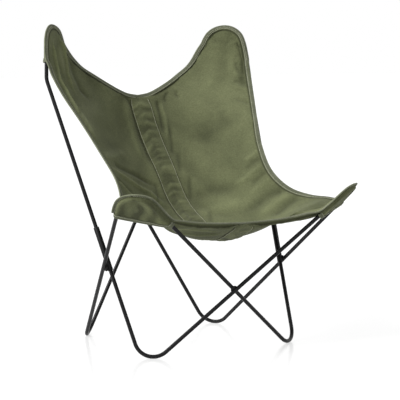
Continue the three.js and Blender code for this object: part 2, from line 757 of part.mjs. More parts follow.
function layerGrid(half) {
  const rows = half.sections.map((section, index) => sectionNodes(half, index));
  const count = rows[0].length;
  const facing = rows.map((row, i) => row.map((node, j) => {
    const section = half.sections[i];
    if (isTight(section)) return section.tip.normal.clone().negate();
    const along = rows[i + 1][j].clone().sub(rows[i - 1][j]).normalize();
    const across = row[Math.min(count - 1, j + 1)].clone().sub(row[Math.max(0, j - 1)]).normalize();
    const normal = across.cross(along).multiplyScalar(half.sign).normalize();
    if (section.wrap > 0) normal.lerp(section.tip.normal.clone().negate(), section.wrap).normalize();
    if (section.kind === 'centre' && j === count - 1) return vec(0, normal.y, normal.z).normalize();
    return normal;
  }));
  rows.forEach((row, i) => row.forEach((node, j) => {
    node.addScaledVector(facing[i][j], foldLift(half, i, j / (count - 1)));
  }));
  return { rows, facing };
}

// A closed sheet of cloth from a grid of nodes, with its thickness along each node's facing
function sheetGeometry(rows, facing, thicknessAt) {
  const positions = [];
  const index = [];
  const known = new Map();
  const rim = new Map();
  const put = (point) => {
    const key = `${point.x.toFixed(4)},${point.y.toFixed(4)},${point.z.toFixed(4)}`;
    if (!known.has(key)) {
      known.set(key, positions.length / 3);
      positions.push(point.x, point.y, point.z);
    }
    return known.get(key);
  };
  const skin = (side) => rows.map((row, i) => row.map((node, j) => (
    put(node.clone().addScaledVector(facing[i][j], side * thicknessAt(i, j) / 2)))));
  const top = skin(1);
  const bottom = skin(-1);
  const triangle = (a, b, c) => {
    if (a !== b && b !== c && c !== a) index.push(a, b, c);
  };
  const edges = new Map();
  const cell = (grid, i, j, flip, track) => {
    const a = grid[i][j];
    const b = grid[i + 1][j];
    const c = grid[i + 1][j + 1];
    const d = grid[i][j + 1];
    [[a, b, c], [a, c, d]].forEach(([p, q, r]) => {
      if (p === q || q === r || r === p) return;
      if (flip) triangle(p, r, q);
      else triangle(p, q, r);
      if (track) [[p, q], [q, r], [r, p]].forEach(([s, t]) => {
        const back = `${t}:${s}`;
        if (edges.has(back)) edges.delete(back);
        else edges.set(`${s}:${t}`, [s, t]);
      });
    });
  };
  for (let i = 0; i < rows.length - 1; i += 1) {
    for (let j = 0; j < rows[i].length - 1; j += 1) {
      cell(top, i, j, false, true);
      cell(bottom, i, j, true, false);
    }
  }
  top.forEach((row, i) => row.forEach((node, j) => rim.set(node, bottom[i][j])));
  edges.forEach(([s, t]) => {
    triangle(t, s, rim.get(s));
    triangle(t, rim.get(s), rim.get(t));
  });
  const geometry = new THREE.BufferGeometry();
  geometry.setAttribute('position', new THREE.Float32BufferAttribute(positions, 3));
  geometry.setIndex(index);
  geometry.computeVertexNormals();
  return facesOut(geometry);
}

// Turns every triangle over if the closed surface encloses a negative volume
function facesOut(geometry) {
  const place = geometry.attributes.position;
  const index = geometry.index.array;
  const [a, b, c] = [vec(0, 0, 0), vec(0, 0, 0), vec(0, 0, 0)];
  let volume = 0;
  for (let i = 0; i < index.length; i += 3) {
    a.fromBufferAttribute(place, index[i]);
    b.fromBufferAttribute(place, index[i + 1]);
    c.fromBufferAttribute(place, index[i + 2]);
    volume += a.dot(b.cross(c));
  }
  if (volume < 0) {
    for (let i = 0; i < index.length; i += 3) {
      [index[i + 1], index[i + 2]] = [index[i + 2], index[i + 1]];
    }
  }
  geometry.computeVertexNormals();
  return geometry;
}

// A closed strip of hem through a row of rings, with its outer corners rounded. A strip that
// runs on over the middle of the chair has its facets mirrored beyond the middle ring.
function hemGeometry(path, middle = path.length) {
  const thick = hemThickness / 2;
  const round = hemThickness / 3;
  const rings = path.map(({ outer, inward, facing }) => {
    const at = (depth, height) => (
      outer.clone().addScaledVector(inward, depth).addScaledVector(facing, height));
    return [
      at(0, round - thick), at(round, -thick), at(hemWidth, -thick),
      at(hemWidth, thick), at(round, thick), at(0, thick - round),
    ];
  });
  const sides = rings[0].length;
  const positions = rings.flat().flatMap((point) => [point.x, point.y, point.z]);
  const index = [];
  for (let i = 0; i < rings.length - 1; i += 1) {
    for (let j = 0; j < sides; j += 1) {
      const a = i * sides + j;
      const b = i * sides + (j + 1) % sides;
      if (i < middle) index.push(a, b, b + sides, a, b + sides, a + sides);
      else index.push(a, b, a + sides, b, b + sides, a + sides);
    }
  }
  const lastRing = (rings.length - 1) * sides;
  for (let j = 1; j < sides - 1; j += 1) {
    index.push(0, j + 1, j);
    index.push(lastRing, lastRing + j, lastRing + j + 1);
  }
  const geometry = new THREE.BufferGeometry();
  geometry.setAttribute('position', new THREE.Float32BufferAttribute(positions, 3));
  geometry.setIndex(index);
  return facesOut(geometry);
}

const halves = [halfSling(1), halfSling(-1)];
const grids = halves.map(layerGrid);

// The rings of a hem beside the border of one half, from the back tip on
function hemRings(k, edge, from, to) {
  const half = halves[k];
  const { facing } = grids[k];
  const rings = [];
  for (let i = from; i <= to; i += 1) {
    const section = half.sections[i];
    const border = edge === 'side' ? facing[i][0] : facing[i][facing[i].length - 1];
    rings.push({
      outer: section[edge].clone(),
      inward: edge === 'side' ? section.sideInward : section.innerInward,
      facing: border.clone(),
    });
  }
  return rings;
}

// Two hems meet over the middle of a tip, each half a gap short of it
function trimAtTip(ring, tip, direction) {
  ring.outer.addScaledVector(tip.toSide, direction * touchGap / 2);
}

const sectionCount = halves[0].sections.length;
const firstCentre = halves[0].sections.findIndex((section) => section.kind === 'centre');
const lastCentre = firstCentre + centreSections;
const hemLook = hemCanvas;

halves.forEach((half, k) => {
  const label = half.sign > 0 ? 'right' : 'left';
  const { rows, facing } = grids[k];
  addPiece(`sling_${label}`, sheetGeometry(rows, facing, () => clothThickness), canvas);
  const ears = [
    ['back', half.sections.slice(0, half.backCount)],
    ['front', half.sections.slice(-half.frontCount)],
  ];
  ears.forEach(([end, sections]) => {
    const pocketRows = sections.map((section) => earNodes(section, 1));
    const pocketFacing = pocketRows.map((row, i) => row.map(() => sections[i].tip.normal.clone()));
    const thick = (i) => (sections[i].pocketHem ? pocketHemThickness : clothThickness);
    addPiece(`pocket_${end}_${label}`, sheetGeometry(pocketRows, pocketFacing, thick), canvas);
  });
  const rings = hemRings(k, 'side', 0, sectionCount - 1);
  trimAtTip(rings[0], half.backTip, 1);
  trimAtTip(rings[rings.length - 1], half.frontTip, 1);
  addPiece(`hem_side_${label}`, hemGeometry(rings), hemLook);
});

// The hem over both back tips and along the back edge, and the one along the front edge
function endHemGeometry(from, to, tipKey, firstRing) {
  const [right, left] = halves.map((half, k) => hemRings(k, 'inner', from, to));
  const order = (rings) => (firstRing === 'start' ? rings : rings.slice().reverse());
  const [fromRight, fromLeft] = [order(right), order(left)];
  trimAtTip(fromRight[0], halves[0][tipKey], -1);
  trimAtTip(fromLeft[0], halves[1][tipKey], -1);
  const middle = fromRight[fromRight.length - 1];
  middle.facing.x = 0;
  middle.facing.normalize();
  middle.outer.x = 0;
  return hemGeometry([...fromRight, ...fromLeft.slice(0, -1).reverse()], fromRight.length - 1);
}

addPiece('hem_back', endHemGeometry(0, firstCentre, 'backTip', 'start'), hemLook);
addPiece('hem_front', endHemGeometry(lastCentre, sectionCount - 1, 'frontTip', 'end'), hemLook);

// The band sewn over the seam between the two halves
function bandNode(k, i, back) {
  const { rows, facing } = grids[k];
  const column = rows[i].length - 1 - back;
  const out = facing[i][column].clone();
  const node = rows[i][column].clone();
  node.addScaledVector(out, clothThickness / 2 + touchGap + bandThickness / 2);
  return { node, out };
}

const bandRows = [];
const bandFacing = [];
for (let i = firstCentre; i <= lastCentre; i += 1) {
  const entries = [[0, 2], [0, 1], [0, 0], [1, 1], [1, 2]].map(([k, back]) => bandNode(k, i, back));
  entries[2].node.x = 0;
  bandRows.push(entries.map((entry) => entry.node));
  bandFacing.push(entries.map((entry) => entry.out));
}
addPiece('centre_band', sheetGeometry(bandRows, bandFacing, () => bandThickness), hemLook);

// The origin goes to the floor under the middle of the whole chair
const whole = new THREE.Box3().setFromObject(chair);
const middleDepth = (whole.min.y + whole.max.y) / 2;
chair.children.forEach((piece) => piece.geometry.translate(0, -middleDepth, 0));

export default chair;
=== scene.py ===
# %% [markdown]
# # A butterfly sling chair
# A canvas sling hangs by four sewn pockets on the hairpin tips of a bent, round steel rod
# frame. The solids of model.glb are loaded first as a fixed frame, and every piece below is made
# in their place, in metres, with +Z up and the sitter facing -Y.

# %% Load the frame
import math
import bpy
import numpy as np
from mathutils import Matrix, Vector, noise


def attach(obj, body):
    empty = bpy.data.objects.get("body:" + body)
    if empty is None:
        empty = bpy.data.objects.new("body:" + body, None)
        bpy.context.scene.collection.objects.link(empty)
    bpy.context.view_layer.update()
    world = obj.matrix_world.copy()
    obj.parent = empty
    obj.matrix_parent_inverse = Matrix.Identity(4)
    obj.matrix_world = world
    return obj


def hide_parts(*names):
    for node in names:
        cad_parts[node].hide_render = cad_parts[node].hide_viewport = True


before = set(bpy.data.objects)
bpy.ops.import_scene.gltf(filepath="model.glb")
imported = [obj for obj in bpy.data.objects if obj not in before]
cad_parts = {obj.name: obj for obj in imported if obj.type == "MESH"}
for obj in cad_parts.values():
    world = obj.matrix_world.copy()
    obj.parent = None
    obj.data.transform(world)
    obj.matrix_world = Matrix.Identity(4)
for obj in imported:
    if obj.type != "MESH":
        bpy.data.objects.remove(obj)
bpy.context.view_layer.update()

# %% [markdown]
# ## Camera
# The picture is square and taken from far away with a long lens, a little above the seat
# and from the front left. The camera is turned by its heading, its tilt and a trace of roll.

# %% Camera
MM = 0.001
CAMERA_PLACE = (-2.385, -4.059, 0.859)
CAMERA_HEADING = math.radians(-30.81)
CAMERA_TILT = math.radians(90 - 5.5)
LENS = 149.04

camera_data = bpy.data.cameras.new("camera")
camera_data.lens = LENS
camera_data.sensor_width = 36.0
camera_data.clip_end = 60.0
camera = bpy.data.objects.new("camera", camera_data)
bpy.context.scene.collection.objects.link(camera)
camera.matrix_world = (Matrix.Translation(CAMERA_PLACE)
                       @ Matrix.Rotation(CAMERA_HEADING, 4, "Z")
                       @ Matrix.Rotation(CAMERA_TILT, 4, "X"))
bpy.context.scene.camera = camera

# %% [markdown]
# ## Sizes of the frame
# The frame is two loops of round rod. Each loop stands on one front foot and the opposite
# back foot and carries a front tip; above its sleeves it goes on into one back tip. The two
# loops are mirror images that pass each other at the crossings, so one loop's corner points,
# in millimetres, serve for both.

# %% Sizes of the frame
ROD_RADIUS = 5.5 * MM
SLEEVE_RADIUS = 8 * MM
SLEEVE_BORE = 5.8 * MM
SLEEVE_LENGTH = 128 * MM
FOOT_BEND = 52 * MM
FRONT_TIP_BEND = 48.3 * MM
BACK_TIP_BEND = 54 * MM
KINK_BEND = 60 * MM
LOOP_LAP = 12.775
LOOP_POINTS = {
    "front_foot": (-251.5, -187.22, -31.77),
    "back_foot": (214.6, 236.78, -32.61),
    "front_tip": (388, -354.42, 506.7),
    "side_kink": (-344, 215.38, 749),
    "back_kink": (-219, 328.68, 736.7),
    "back_tip": (-306, 286.48, 1031.3),
}
LEGS = {"side": ("front_foot", "side_kink"), "back": ("back_foot", "back_kink")}
SLEEVE_STARTS = {"side": (295.84, 277.74), "back": (466.29, 464.56)}
JOINT_DEPTH = 58.5 * MM


def loop_point(name, mirror):
    """A named point of one rod loop, in metres; the mirrored loop lies one lap further back."""
    x, y, z = LOOP_POINTS[name]
    return Vector((-x, y + LOOP_LAP, z) if mirror else (x, y, z)) * MM


def sleeve_place(end, mirror):
    """Where a leg's sleeve starts, the leg's direction, and the joint of the two rods in it."""
    foot, kink = (loop_point(name, mirror) for name in LEGS[end])
    ahead = (kink - foot).normalized()
    start = foot + ahead * (SLEEVE_STARTS[end][mirror] * MM)
    return start, ahead, start + ahead * JOINT_DEPTH


print("the loops lap by", LOOP_LAP, "mm")

# %% [markdown]
# ## Working with pieces
# Each new piece is selected alone before an operator works on it, and a finished piece keeps
# its place in its mesh, with its object at the origin. Editing always starts with the whole
# piece selected.

# %% Helpers for pieces
def take_alone(piece):
    """Selects one object and nothing else, and makes it the active one."""
    if bpy.context.mode != "OBJECT":
        bpy.ops.object.mode_set(mode="OBJECT")
    bpy.ops.object.select_all(action="DESELECT")
    piece.select_set(True)
    bpy.context.view_layer.objects.active = piece


def settle(piece, name):
    """Names a piece and moves its place and turn into its mesh."""
    take_alone(piece)
    bpy.ops.object.transform_apply(location=True, rotation=True, scale=True)
    piece.name = name
    piece.data.name = name
    return piece


def edit_all(piece):
    """Opens a piece for editing, with all of it selected."""
    take_alone(piece)
    bpy.ops.object.mode_set(mode="EDIT")
    bpy.ops.mesh.select_all(action="SELECT")


def end_edit(outwards=False):
    """Ends the editing, with every face turned outwards first where that is asked for."""
    if outwards:
        bpy.ops.mesh.select_all(action="SELECT")
        bpy.ops.mesh.normals_make_consistent(inside=False)
    bpy.ops.object.mode_set(mode="OBJECT")


def new_piece(name, points, faces):
    """An object whose mesh has the given points and faces."""
    mesh = bpy.data.meshes.new(name)
    mesh.from_pydata(points.reshape(-1, 3).tolist(), [], faces)
    piece = bpy.data.objects.new(name, mesh)
    bpy.context.scene.collection.objects.link(piece)
    return piece


def finish_piece(piece, material, nodes=(), smooth=40):
    """Gives a piece its material, its smooth shading and its place on the chair."""
    take_alone(piece)
    piece.data.materials.clear()
    piece.data.materials.append(material)
    bpy.ops.object.shade_smooth_by_angle(angle=math.radians(smooth))
    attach(piece, "root")
    if nodes:
        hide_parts(*nodes)
    print(piece.name, "has", len(piece.data.polygons), "faces")
    return piece


# %% [markdown]
# ## Finishes
# The rods are satin black powder coat, which is never quite even: it has a fine orange peel
# and a soft change of gloss. One node group makes both, and the welds use it with a coarser
# peel. The values that don't change over a surface are set on the shader's own sockets.

# %% Node helpers
def new_group(name, inputs, outputs):
    """An empty node group with named inputs (name, type, value) and outputs (name, type)."""
    group = bpy.data.node_groups.new(name, "ShaderNodeTree")
    for title, kind, value in inputs:
        socket = group.interface.new_socket(title, in_out="INPUT", socket_type=kind)
        if value is not None:
            socket.default_value = value
    for title, kind in outputs:
        group.interface.new_socket(title, in_out="OUTPUT", socket_type=kind)
    return group


def add_node(tree, kind, settings=None, **values):
    """Adds a node with its own settings and its sockets' values."""
    node = tree.nodes.new(kind)
    for key, value in (settings or {}).items():
        setattr(node, key, value)
    for key, value in values.items():
        node.inputs[key.replace("_", " ")].default_value = value
    return node


def math_node(tree, operation, first, second=None, third=None):
    """A Math node whose inputs are sockets or numbers; gives its output."""
    node = tree.nodes.new("ShaderNodeMath")
    node.operation = operation
    for place, value in enumerate((first, second, third)):
        if value is None:
            continue
        if isinstance(value, (int, float)):
            node.inputs[place].default_value = value
        else:
            tree.links.new(value, node.inputs[place])
    return node.outputs[0]


def mix_colour(tree, factor, first, second, blend="MIX"):
    """A Mix node for colours whose inputs are sockets or values; gives its output."""
    node = tree.nodes.new("ShaderNodeMix")
    node.data_type = "RGBA"
    node.blend_type = blend
    for place, value in ((0, factor), (6, first), (7, second)):
        if hasattr(value, "is_output"):
            tree.links.new(value, node.inputs[place])
        else:
            node.inputs[place].default_value = value
    return node.outputs[2]


def spread_value(tree, value, out_low, out_high, low=0.3, high=0.7):
    """Spreads the middle of a noise, or another range, over a new range; gives its output."""
    node = add_node(tree, "ShaderNodeMapRange",
                    From_Min=low, From_Max=high, To_Min=out_low, To_Max=out_high)
    tree.links.new(value, node.inputs["Value"])
    return node.outputs["Result"]


def set_bump(tree, height, strength, distance):
    """Leads a height through a Bump node to the shader's normal."""
    bump = add_node(tree, "ShaderNodeBump", Strength=strength, Distance=distance)
    tree.links.new(height, bump.inputs["Height"])
    tree.links.new(bump.outputs["Normal"], tree.nodes["Principled BSDF"].inputs["Normal"])


def srgb(red, green, blue):
    """A colour written as it looks, from 0 to 255, as the shader's linear colour."""
    share = [value / 255 for value in (red, green, blue)]
    linear = [c / 12.92 if c <= 0.04045 else ((c + 0.055) / 1.055) ** 2.4 for c in share]
    return (*linear, 1.0)


# %% Powder coat
def make_powder_group():
    """Orange peel height and gloss change for painted steel."""
    group = new_group(
        "powder_coat",
        [("Peel Scale", "NodeSocketFloat", 900.0), ("Gloss Scale", "NodeSocketFloat", 14.0)],
        [("Height", "NodeSocketFloat"), ("Gloss", "NodeSocketFloat"), ("Dust", "NodeSocketFloat")])
    source = group.nodes.new("NodeGroupInput")
    sink = group.nodes.new("NodeGroupOutput")
    place = add_node(group, "ShaderNodeTexCoord")
    peel = add_node(group, "ShaderNodeTexNoise", Detail=2.0, Roughness=0.5)
    gloss = add_node(group, "ShaderNodeTexNoise", Detail=3.0, Roughness=0.6)
    dust = add_node(group, "ShaderNodeTexNoise", Scale=160.0, Detail=4.0, Roughness=0.7)
    for node in (peel, gloss, dust):
        group.links.new(place.outputs["Object"], node.inputs["Vector"])
    group.links.new(source.outputs["Peel Scale"], peel.inputs["Scale"])
    group.links.new(source.outputs["Gloss Scale"], gloss.inputs["Scale"])
    group.links.new(peel.outputs["Fac"], sink.inputs["Height"])
    group.links.new(gloss.outputs["Fac"], sink.inputs["Gloss"])
    group.links.new(dust.outputs["Fac"], sink.inputs["Dust"])
    return group


powder_group = make_powder_group()


def make_powder_coat(name, peel_scale, peel_depth, low_gloss, high_gloss):
    """A satin black painted steel, with its peel size and its range of roughness."""
    material = bpy.data.materials.new(name)
    material.use_nodes = True
    tree = material.node_tree
    shader = tree.nodes["Principled BSDF"]
    coat = tree.nodes.new("ShaderNodeGroup")
    coat.node_tree = powder_group
    coat.inputs["Peel Scale"].default_value = peel_scale
    colour = mix_colour(tree, coat.outputs["Dust"], srgb(10, 10, 11), srgb(17, 17, 19))
    tree.links.new(colour, shader.inputs["Base Color"])
    roughness = spread_value(tree, coat.outputs["Gloss"], low_gloss, high_gloss)
    tree.links.new(roughness, shader.inputs["Roughness"])
    set_bump(tree, coat.outputs["Height"], 0.35, peel_depth)
    shader.inputs["Specular IOR Level"].default_value = 0.2
    return material


rod_coat = make_powder_coat("satin_black_coat", 900.0, 0.00012, 0.3, 0.44)
weld_coat = make_powder_coat("satin_black_weld", 420.0, 0.0006, 0.38, 0.55)

# %% [markdown]
# ## Bent rods
# A rod is made as a bending machine makes it: a circle is pushed straight on, turned round
# the centre of each bend, and pushed on again. Extrude does the straight runs and Spin the
# bends, so the rod keeps one thickness all the way. A rod foot has a small flat worn where
# it stands, which Bisect cuts at the floor.

# %% Bend a rod
RING = 28
BEND_STEP = math.radians(4)
SAME_POINT = 0.01 * MM


def bend_of(before, corner, after, radius):
    """Where a bend of that radius starts and ends, its centre, its axis and its angle."""
    back = (before - corner).normalized()
    ahead = (after - corner).normalized()
    half = back.angle(ahead) / 2
    centre = corner + (back + ahead).normalized() * (radius / math.sin(half))
    reach = radius / math.tan(half)
    axis = ahead.cross(-back).normalized()
    return corner + back * reach, corner + ahead * reach, centre, axis, math.pi - 2 * half


def bent_rod(name, corners, radii):
    """A round rod through the corners, with a bend of the given radius at each inner one."""
    start, ahead = corners[0], (corners[1] - corners[0]).normalized()
    bpy.ops.object.select_all(action="DESELECT")
    bpy.ops.mesh.primitive_circle_add(
        vertices=RING, radius=ROD_RADIUS, location=start,
        rotation=ahead.to_track_quat("Z", "Y").to_euler())
    rod = settle(bpy.context.object, name)
    edit_all(rod)
    bpy.ops.mesh.edge_face_add()
    place = start
    for i, bend_radius in enumerate(radii):
        begin, end, centre, axis, angle = bend_of(*corners[i:i + 3], bend_radius)
        bpy.ops.mesh.extrude_region_move(TRANSFORM_OT_translate={"value": begin - place})
        steps = max(3, round(angle / BEND_STEP))
        bpy.ops.mesh.spin(steps=steps, angle=angle, center=centre, axis=axis)
        place = end
    bpy.ops.mesh.extrude_region_move(TRANSFORM_OT_translate={"value": corners[-1] - place})
    bpy.ops.mesh.select_all(action="SELECT")
    bpy.ops.mesh.remove_doubles(threshold=SAME_POINT)
    end_edit(outwards=True)
    return rod


def cut_at_floor(rod):
    """Cuts the worn flats where a rod stands on the floor."""
    edit_all(rod)
    bpy.ops.mesh.bisect(plane_co=(0, 0, 0), plane_no=(0, 0, 1), use_fill=True, clear_inner=True)
    end_edit()


# %% The four rods
LOWER_BENDS = (("front_foot", "front_tip", "back_foot"), (FOOT_BEND, FRONT_TIP_BEND, FOOT_BEND))
UPPER_BENDS = (("side_kink", "back_tip", "back_kink"), (KINK_BEND, BACK_TIP_BEND, KINK_BEND))
for mirror, lower_name, upper_name in ((False, "lower_rod_a", "back_hairpin_left"),
                                       (True, "lower_rod_b", "back_hairpin_right")):
    ends = [sleeve_place(end, mirror)[2] for end in LEGS]
    for name, (bends, radii) in ((lower_name, LOWER_BENDS), (upper_name, UPPER_BENDS)):
        corners = [ends[0], *(loop_point(key, mirror) for key in bends), ends[1]]
        rod = bent_rod("rod_" + name, corners, radii)
        if name == lower_name:
            cut_at_floor(rod)
        finish_piece(rod, rod_coat, [name])

# %% [markdown]
# ## Sleeves
# A short length of wider tube covers each joint between a lower rod and a back hairpin. It
# starts as a cylinder; its two ends are inset and joined through by a bridge, which bores
# it, and the outer rims get a small bevel.

# %% Sleeves
SLEEVE_SIDES = 40
SLEEVE_CHAMFER, SLEEVE_ROUND = 0.7 * MM, 0.6 * MM


def joint_sleeve(name, start, ahead):
    """A bored, bevelled tube that starts at a point and runs along a direction."""
    bpy.ops.object.select_all(action="DESELECT")
    bpy.ops.mesh.primitive_cylinder_add(
        vertices=SLEEVE_SIDES, radius=SLEEVE_RADIUS, depth=SLEEVE_LENGTH,
        location=start + ahead * (SLEEVE_LENGTH / 2),
        rotation=ahead.to_track_quat("Z", "Y").to_euler())
    tube = settle(bpy.context.object, name)
    bpy.ops.object.mode_set(mode="EDIT")
    bpy.ops.mesh.select_mode(type="FACE")
    bpy.ops.mesh.select_all(action="DESELECT")
    bpy.ops.object.mode_set(mode="OBJECT")
    for face in tube.data.polygons:
        face.select = abs(face.normal.dot(ahead)) > 0.9
    bpy.ops.object.mode_set(mode="EDIT")
    bpy.ops.mesh.inset(thickness=SLEEVE_CHAMFER)
    bpy.ops.mesh.inset(thickness=SLEEVE_RADIUS - SLEEVE_BORE - SLEEVE_CHAMFER)
    bpy.ops.mesh.bridge_edge_loops()
    end_edit(outwards=True)
    rim = tube.modifiers.new("rim", "BEVEL")
    rim.width = SLEEVE_ROUND
    rim.segments = 3
    rim.limit_method = "ANGLE"
    rim.angle_limit = math.radians(50)
    take_alone(tube)
    bpy.ops.object.modifier_apply(modifier="rim")
    return tube


for mirror, side in ((False, "left"), (True, "right")):
    for end in LEGS:
        start, ahead, _ = sleeve_place(end, mirror)
        node = "sleeve_" + end + "_" + side
        finish_piece(joint_sleeve("tube_" + node, start, ahead), rod_coat, [node], smooth=35)

# %% [markdown]
# ## Welds
# Where the loops cross, a weld bead fills the notch. The solids of model.glb have the right
# shape, so they stay and only get the coarser coat.

# %% Welds
for name in ("weld_left", "weld_right", "weld_front", "weld_back"):
    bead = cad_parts[name]
    bead.data.materials.clear()
    bead.data.materials.append(weld_coat)
print("the weld beads keep their solids")

# %% [markdown]
# ## Canvas cloth
# The sling is heavy cotton canvas in a dusty olive. Close up it is a plain weave with uneven
# threads; further off it shows soft faded patches. One node group makes the weave's height,
# the thread streaks and the fading from the cloth's own UV map, which is in metres, so the
# threads keep one size on every piece. Hems, bands and panels use it with their own colours.

# %% Canvas weave
def make_canvas_group():
    """Weave height, thread streaks and fading, from the cloth's UV map."""
    group = new_group(
        "woven_canvas",
        [("Pitch", "NodeSocketFloat", 1.1 * MM), ("Fade Scale", "NodeSocketFloat", 9.0)],
        [("Weave", "NodeSocketFloat"), ("Streaks", "NodeSocketFloat"), ("Fade", "NodeSocketFloat"),
         ("Slubs", "NodeSocketFloat")])
    source = group.nodes.new("NodeGroupInput")
    sink = group.nodes.new("NodeGroupOutput")
    place = add_node(group, "ShaderNodeTexCoord")
    cloth_map = add_node(group, "ShaderNodeUVMap", {"uv_map": "cloth"})
    split = add_node(group, "ShaderNodeSeparateXYZ")
    group.links.new(cloth_map.outputs["UV"], split.inputs["Vector"])
    turns = math_node(group, "DIVIDE", math.pi, source.outputs["Pitch"])
    waves = [math_node(group, "SINE", math_node(group, "MULTIPLY", split.outputs[axis], turns))
             for axis in ("X", "Y")]
    checks = math_node(group, "MULTIPLY", waves[0], waves[1])
    weave = math_node(group, "MULTIPLY_ADD", checks, 0.5, 0.5)
    streaks = []
    for fine, coarse in ((1100.0, 45.0), (60.0, 900.0)):
        stretch = add_node(group, "ShaderNodeVectorMath", {"operation": "MULTIPLY"})
        stretch.inputs[1].default_value = (fine, coarse, 1.0)
        group.links.new(cloth_map.outputs["UV"], stretch.inputs[0])
        threads = add_node(group, "ShaderNodeTexNoise", Scale=1.0, Detail=2.0, Roughness=0.6)
        group.links.new(stretch.outputs["Vector"], threads.inputs["Vector"])
        streaks.append(threads.outputs["Fac"])
    both = math_node(group, "MULTIPLY", math_node(group, "ADD", streaks[0], streaks[1]), 0.5)
    fade = add_node(group, "ShaderNodeTexNoise", Detail=5.0, Roughness=0.62, Distortion=0.4)
    slubs = add_node(group, "ShaderNodeTexNoise", Scale=230.0, Detail=3.0, Roughness=0.7)
    for node in (fade, slubs):
        group.links.new(place.outputs["Object"], node.inputs["Vector"])
    group.links.new(source.outputs["Fade Scale"], fade.inputs["Scale"])
    group.links.new(weave, sink.inputs["Weave"])
    group.links.new(both, sink.inputs["Streaks"])
    group.links.new(fade.outputs["Fac"], sink.inputs["Fade"])
    group.links.new(slubs.outputs["Fac"], sink.inputs["Slubs"])
    return group


canvas_group = make_canvas_group()


# %% Canvas colours
WEAVE_DEPTH = 0.35 * MM


def tint(tree, colour, share, swing):
    """Darkens a colour by the swing where the share is 0, and lightens it where it is 1."""
    dark, light = ((1 + sign * swing,) * 3 + (1,) for sign in (-1, 1))
    return mix_colour(tree, 1.0, colour, mix_colour(tree, share, dark, light), "MULTIPLY")


def make_canvas(name, dark, light, fade_scale=9.0):
    """Woven canvas between a dark and a light olive, with light and shade painted in by each
    vertex's shade.
    """
    material = bpy.data.materials.new(name)
    material.use_nodes = True
    tree = material.node_tree
    shader = tree.nodes["Principled BSDF"]
    weave = tree.nodes.new("ShaderNodeGroup")
    weave.node_tree = canvas_group
    weave.inputs["Fade Scale"].default_value = fade_scale
    shade = add_node(tree, "ShaderNodeAttribute", {"attribute_name": "shade"})
    fade, streaks, slubs = (weave.outputs[title] for title in ("Fade", "Streaks", "Slubs"))
    cloth = mix_colour(tree, spread_value(tree, fade, 0.0, 1.0), dark, light)
    cloth = tint(tree, cloth, spread_value(tree, streaks, 0.0, 1.0), 0.2)
    cloth = tint(tree, cloth, spread_value(tree, slubs, 0.0, 1.0, 0.35, 0.65), 0.12)
    # Painted light and shade: the vertex shade lightens painted highlights on ridges and darkens
    # painted shade in creases, beside seams and beside the band.
    cloth = tint(tree, cloth, spread_value(tree, shade.outputs["Fac"], 0.0, 1.0, -2.0, 2.0), 0.64)
    tree.links.new(cloth, shader.inputs["Base Color"])
    tree.links.new(spread_value(tree, fade, 0.86, 0.96), shader.inputs["Roughness"])
    height = math_node(tree, "MULTIPLY_ADD", streaks, 0.8, weave.outputs["Weave"])
    set_bump(tree, height, 0.6, WEAVE_DEPTH)
    shader.inputs["Sheen Weight"].default_value = 0.12
    shader.inputs["Sheen Roughness"].default_value = 0.5
    shader.inputs["Specular IOR Level"].default_value = 0.2
    return material


canvas_cloth = make_canvas("olive_canvas", srgb(106, 111, 79), srgb(126, 131, 95))
hem_cloth = make_canvas("olive_hem", srgb(109, 113, 92), srgb(132, 136, 113), fade_scale=24.0)
thread_cloth = make_canvas("sewing_thread", srgb(172, 174, 148), srgb(198, 200, 174),
                           fade_scale=60.0)
print("three cloths share one weave")

# %% [markdown]
# ## The tips and the hem lines
# The sling touches the frame only at its four tips, so every line of it starts there. A tip
# is a hairpin bend in a flat plane, and a point near it is named by how far it lies along the
# rod from the apex, how far outside the rod and how far behind the plane. The free hems run
# from tip to tip as smooth curves through a few points, which are shares of the frame's own
# spans, as are the places of the folds.

# %% Points near a hairpin tip
HEM_WIDTH = 8.4 * MM
TOUCH_GAP = 0.3 * MM
ROD_WRAP = 3 * MM
SEAM_STANDOFF = 7.5 * MM
TIP_SAG = 1.2 * MM
TIP_MARGIN = SEAM_STANDOFF + TOUCH_GAP + HEM_WIDTH
CLOTH_LIFT = ROD_RADIUS + 1.4 * MM
SEAM_LIFT = 1.15 * MM
HEM_FORWARD = 3.6 * MM
EAR_LEAN, EAR_DROP = 3.5 * MM, 2.5 * MM


def unit(v):
    """The direction of a vector, or of each vector in an array."""
    v = np.asarray(v, float)
    return v / np.maximum(np.linalg.norm(v, axis=-1, keepdims=True), 1e-12)


def smooth_share(x):
    """Grows smoothly from 0 to 1 while x does."""
    x = np.clip(x, 0, 1)
    return x * x * (3 - 2 * x)


def run_of(points):
    """The length along a line of points up to each of them."""
    return np.concatenate([[0], np.cumsum(np.linalg.norm(np.diff(points, axis=0), axis=1))])


def read_line(at, run, points):
    """The places at some lengths along a line of points."""
    return np.stack([np.interp(at, run, points[:, k]) for k in range(3)], -1)


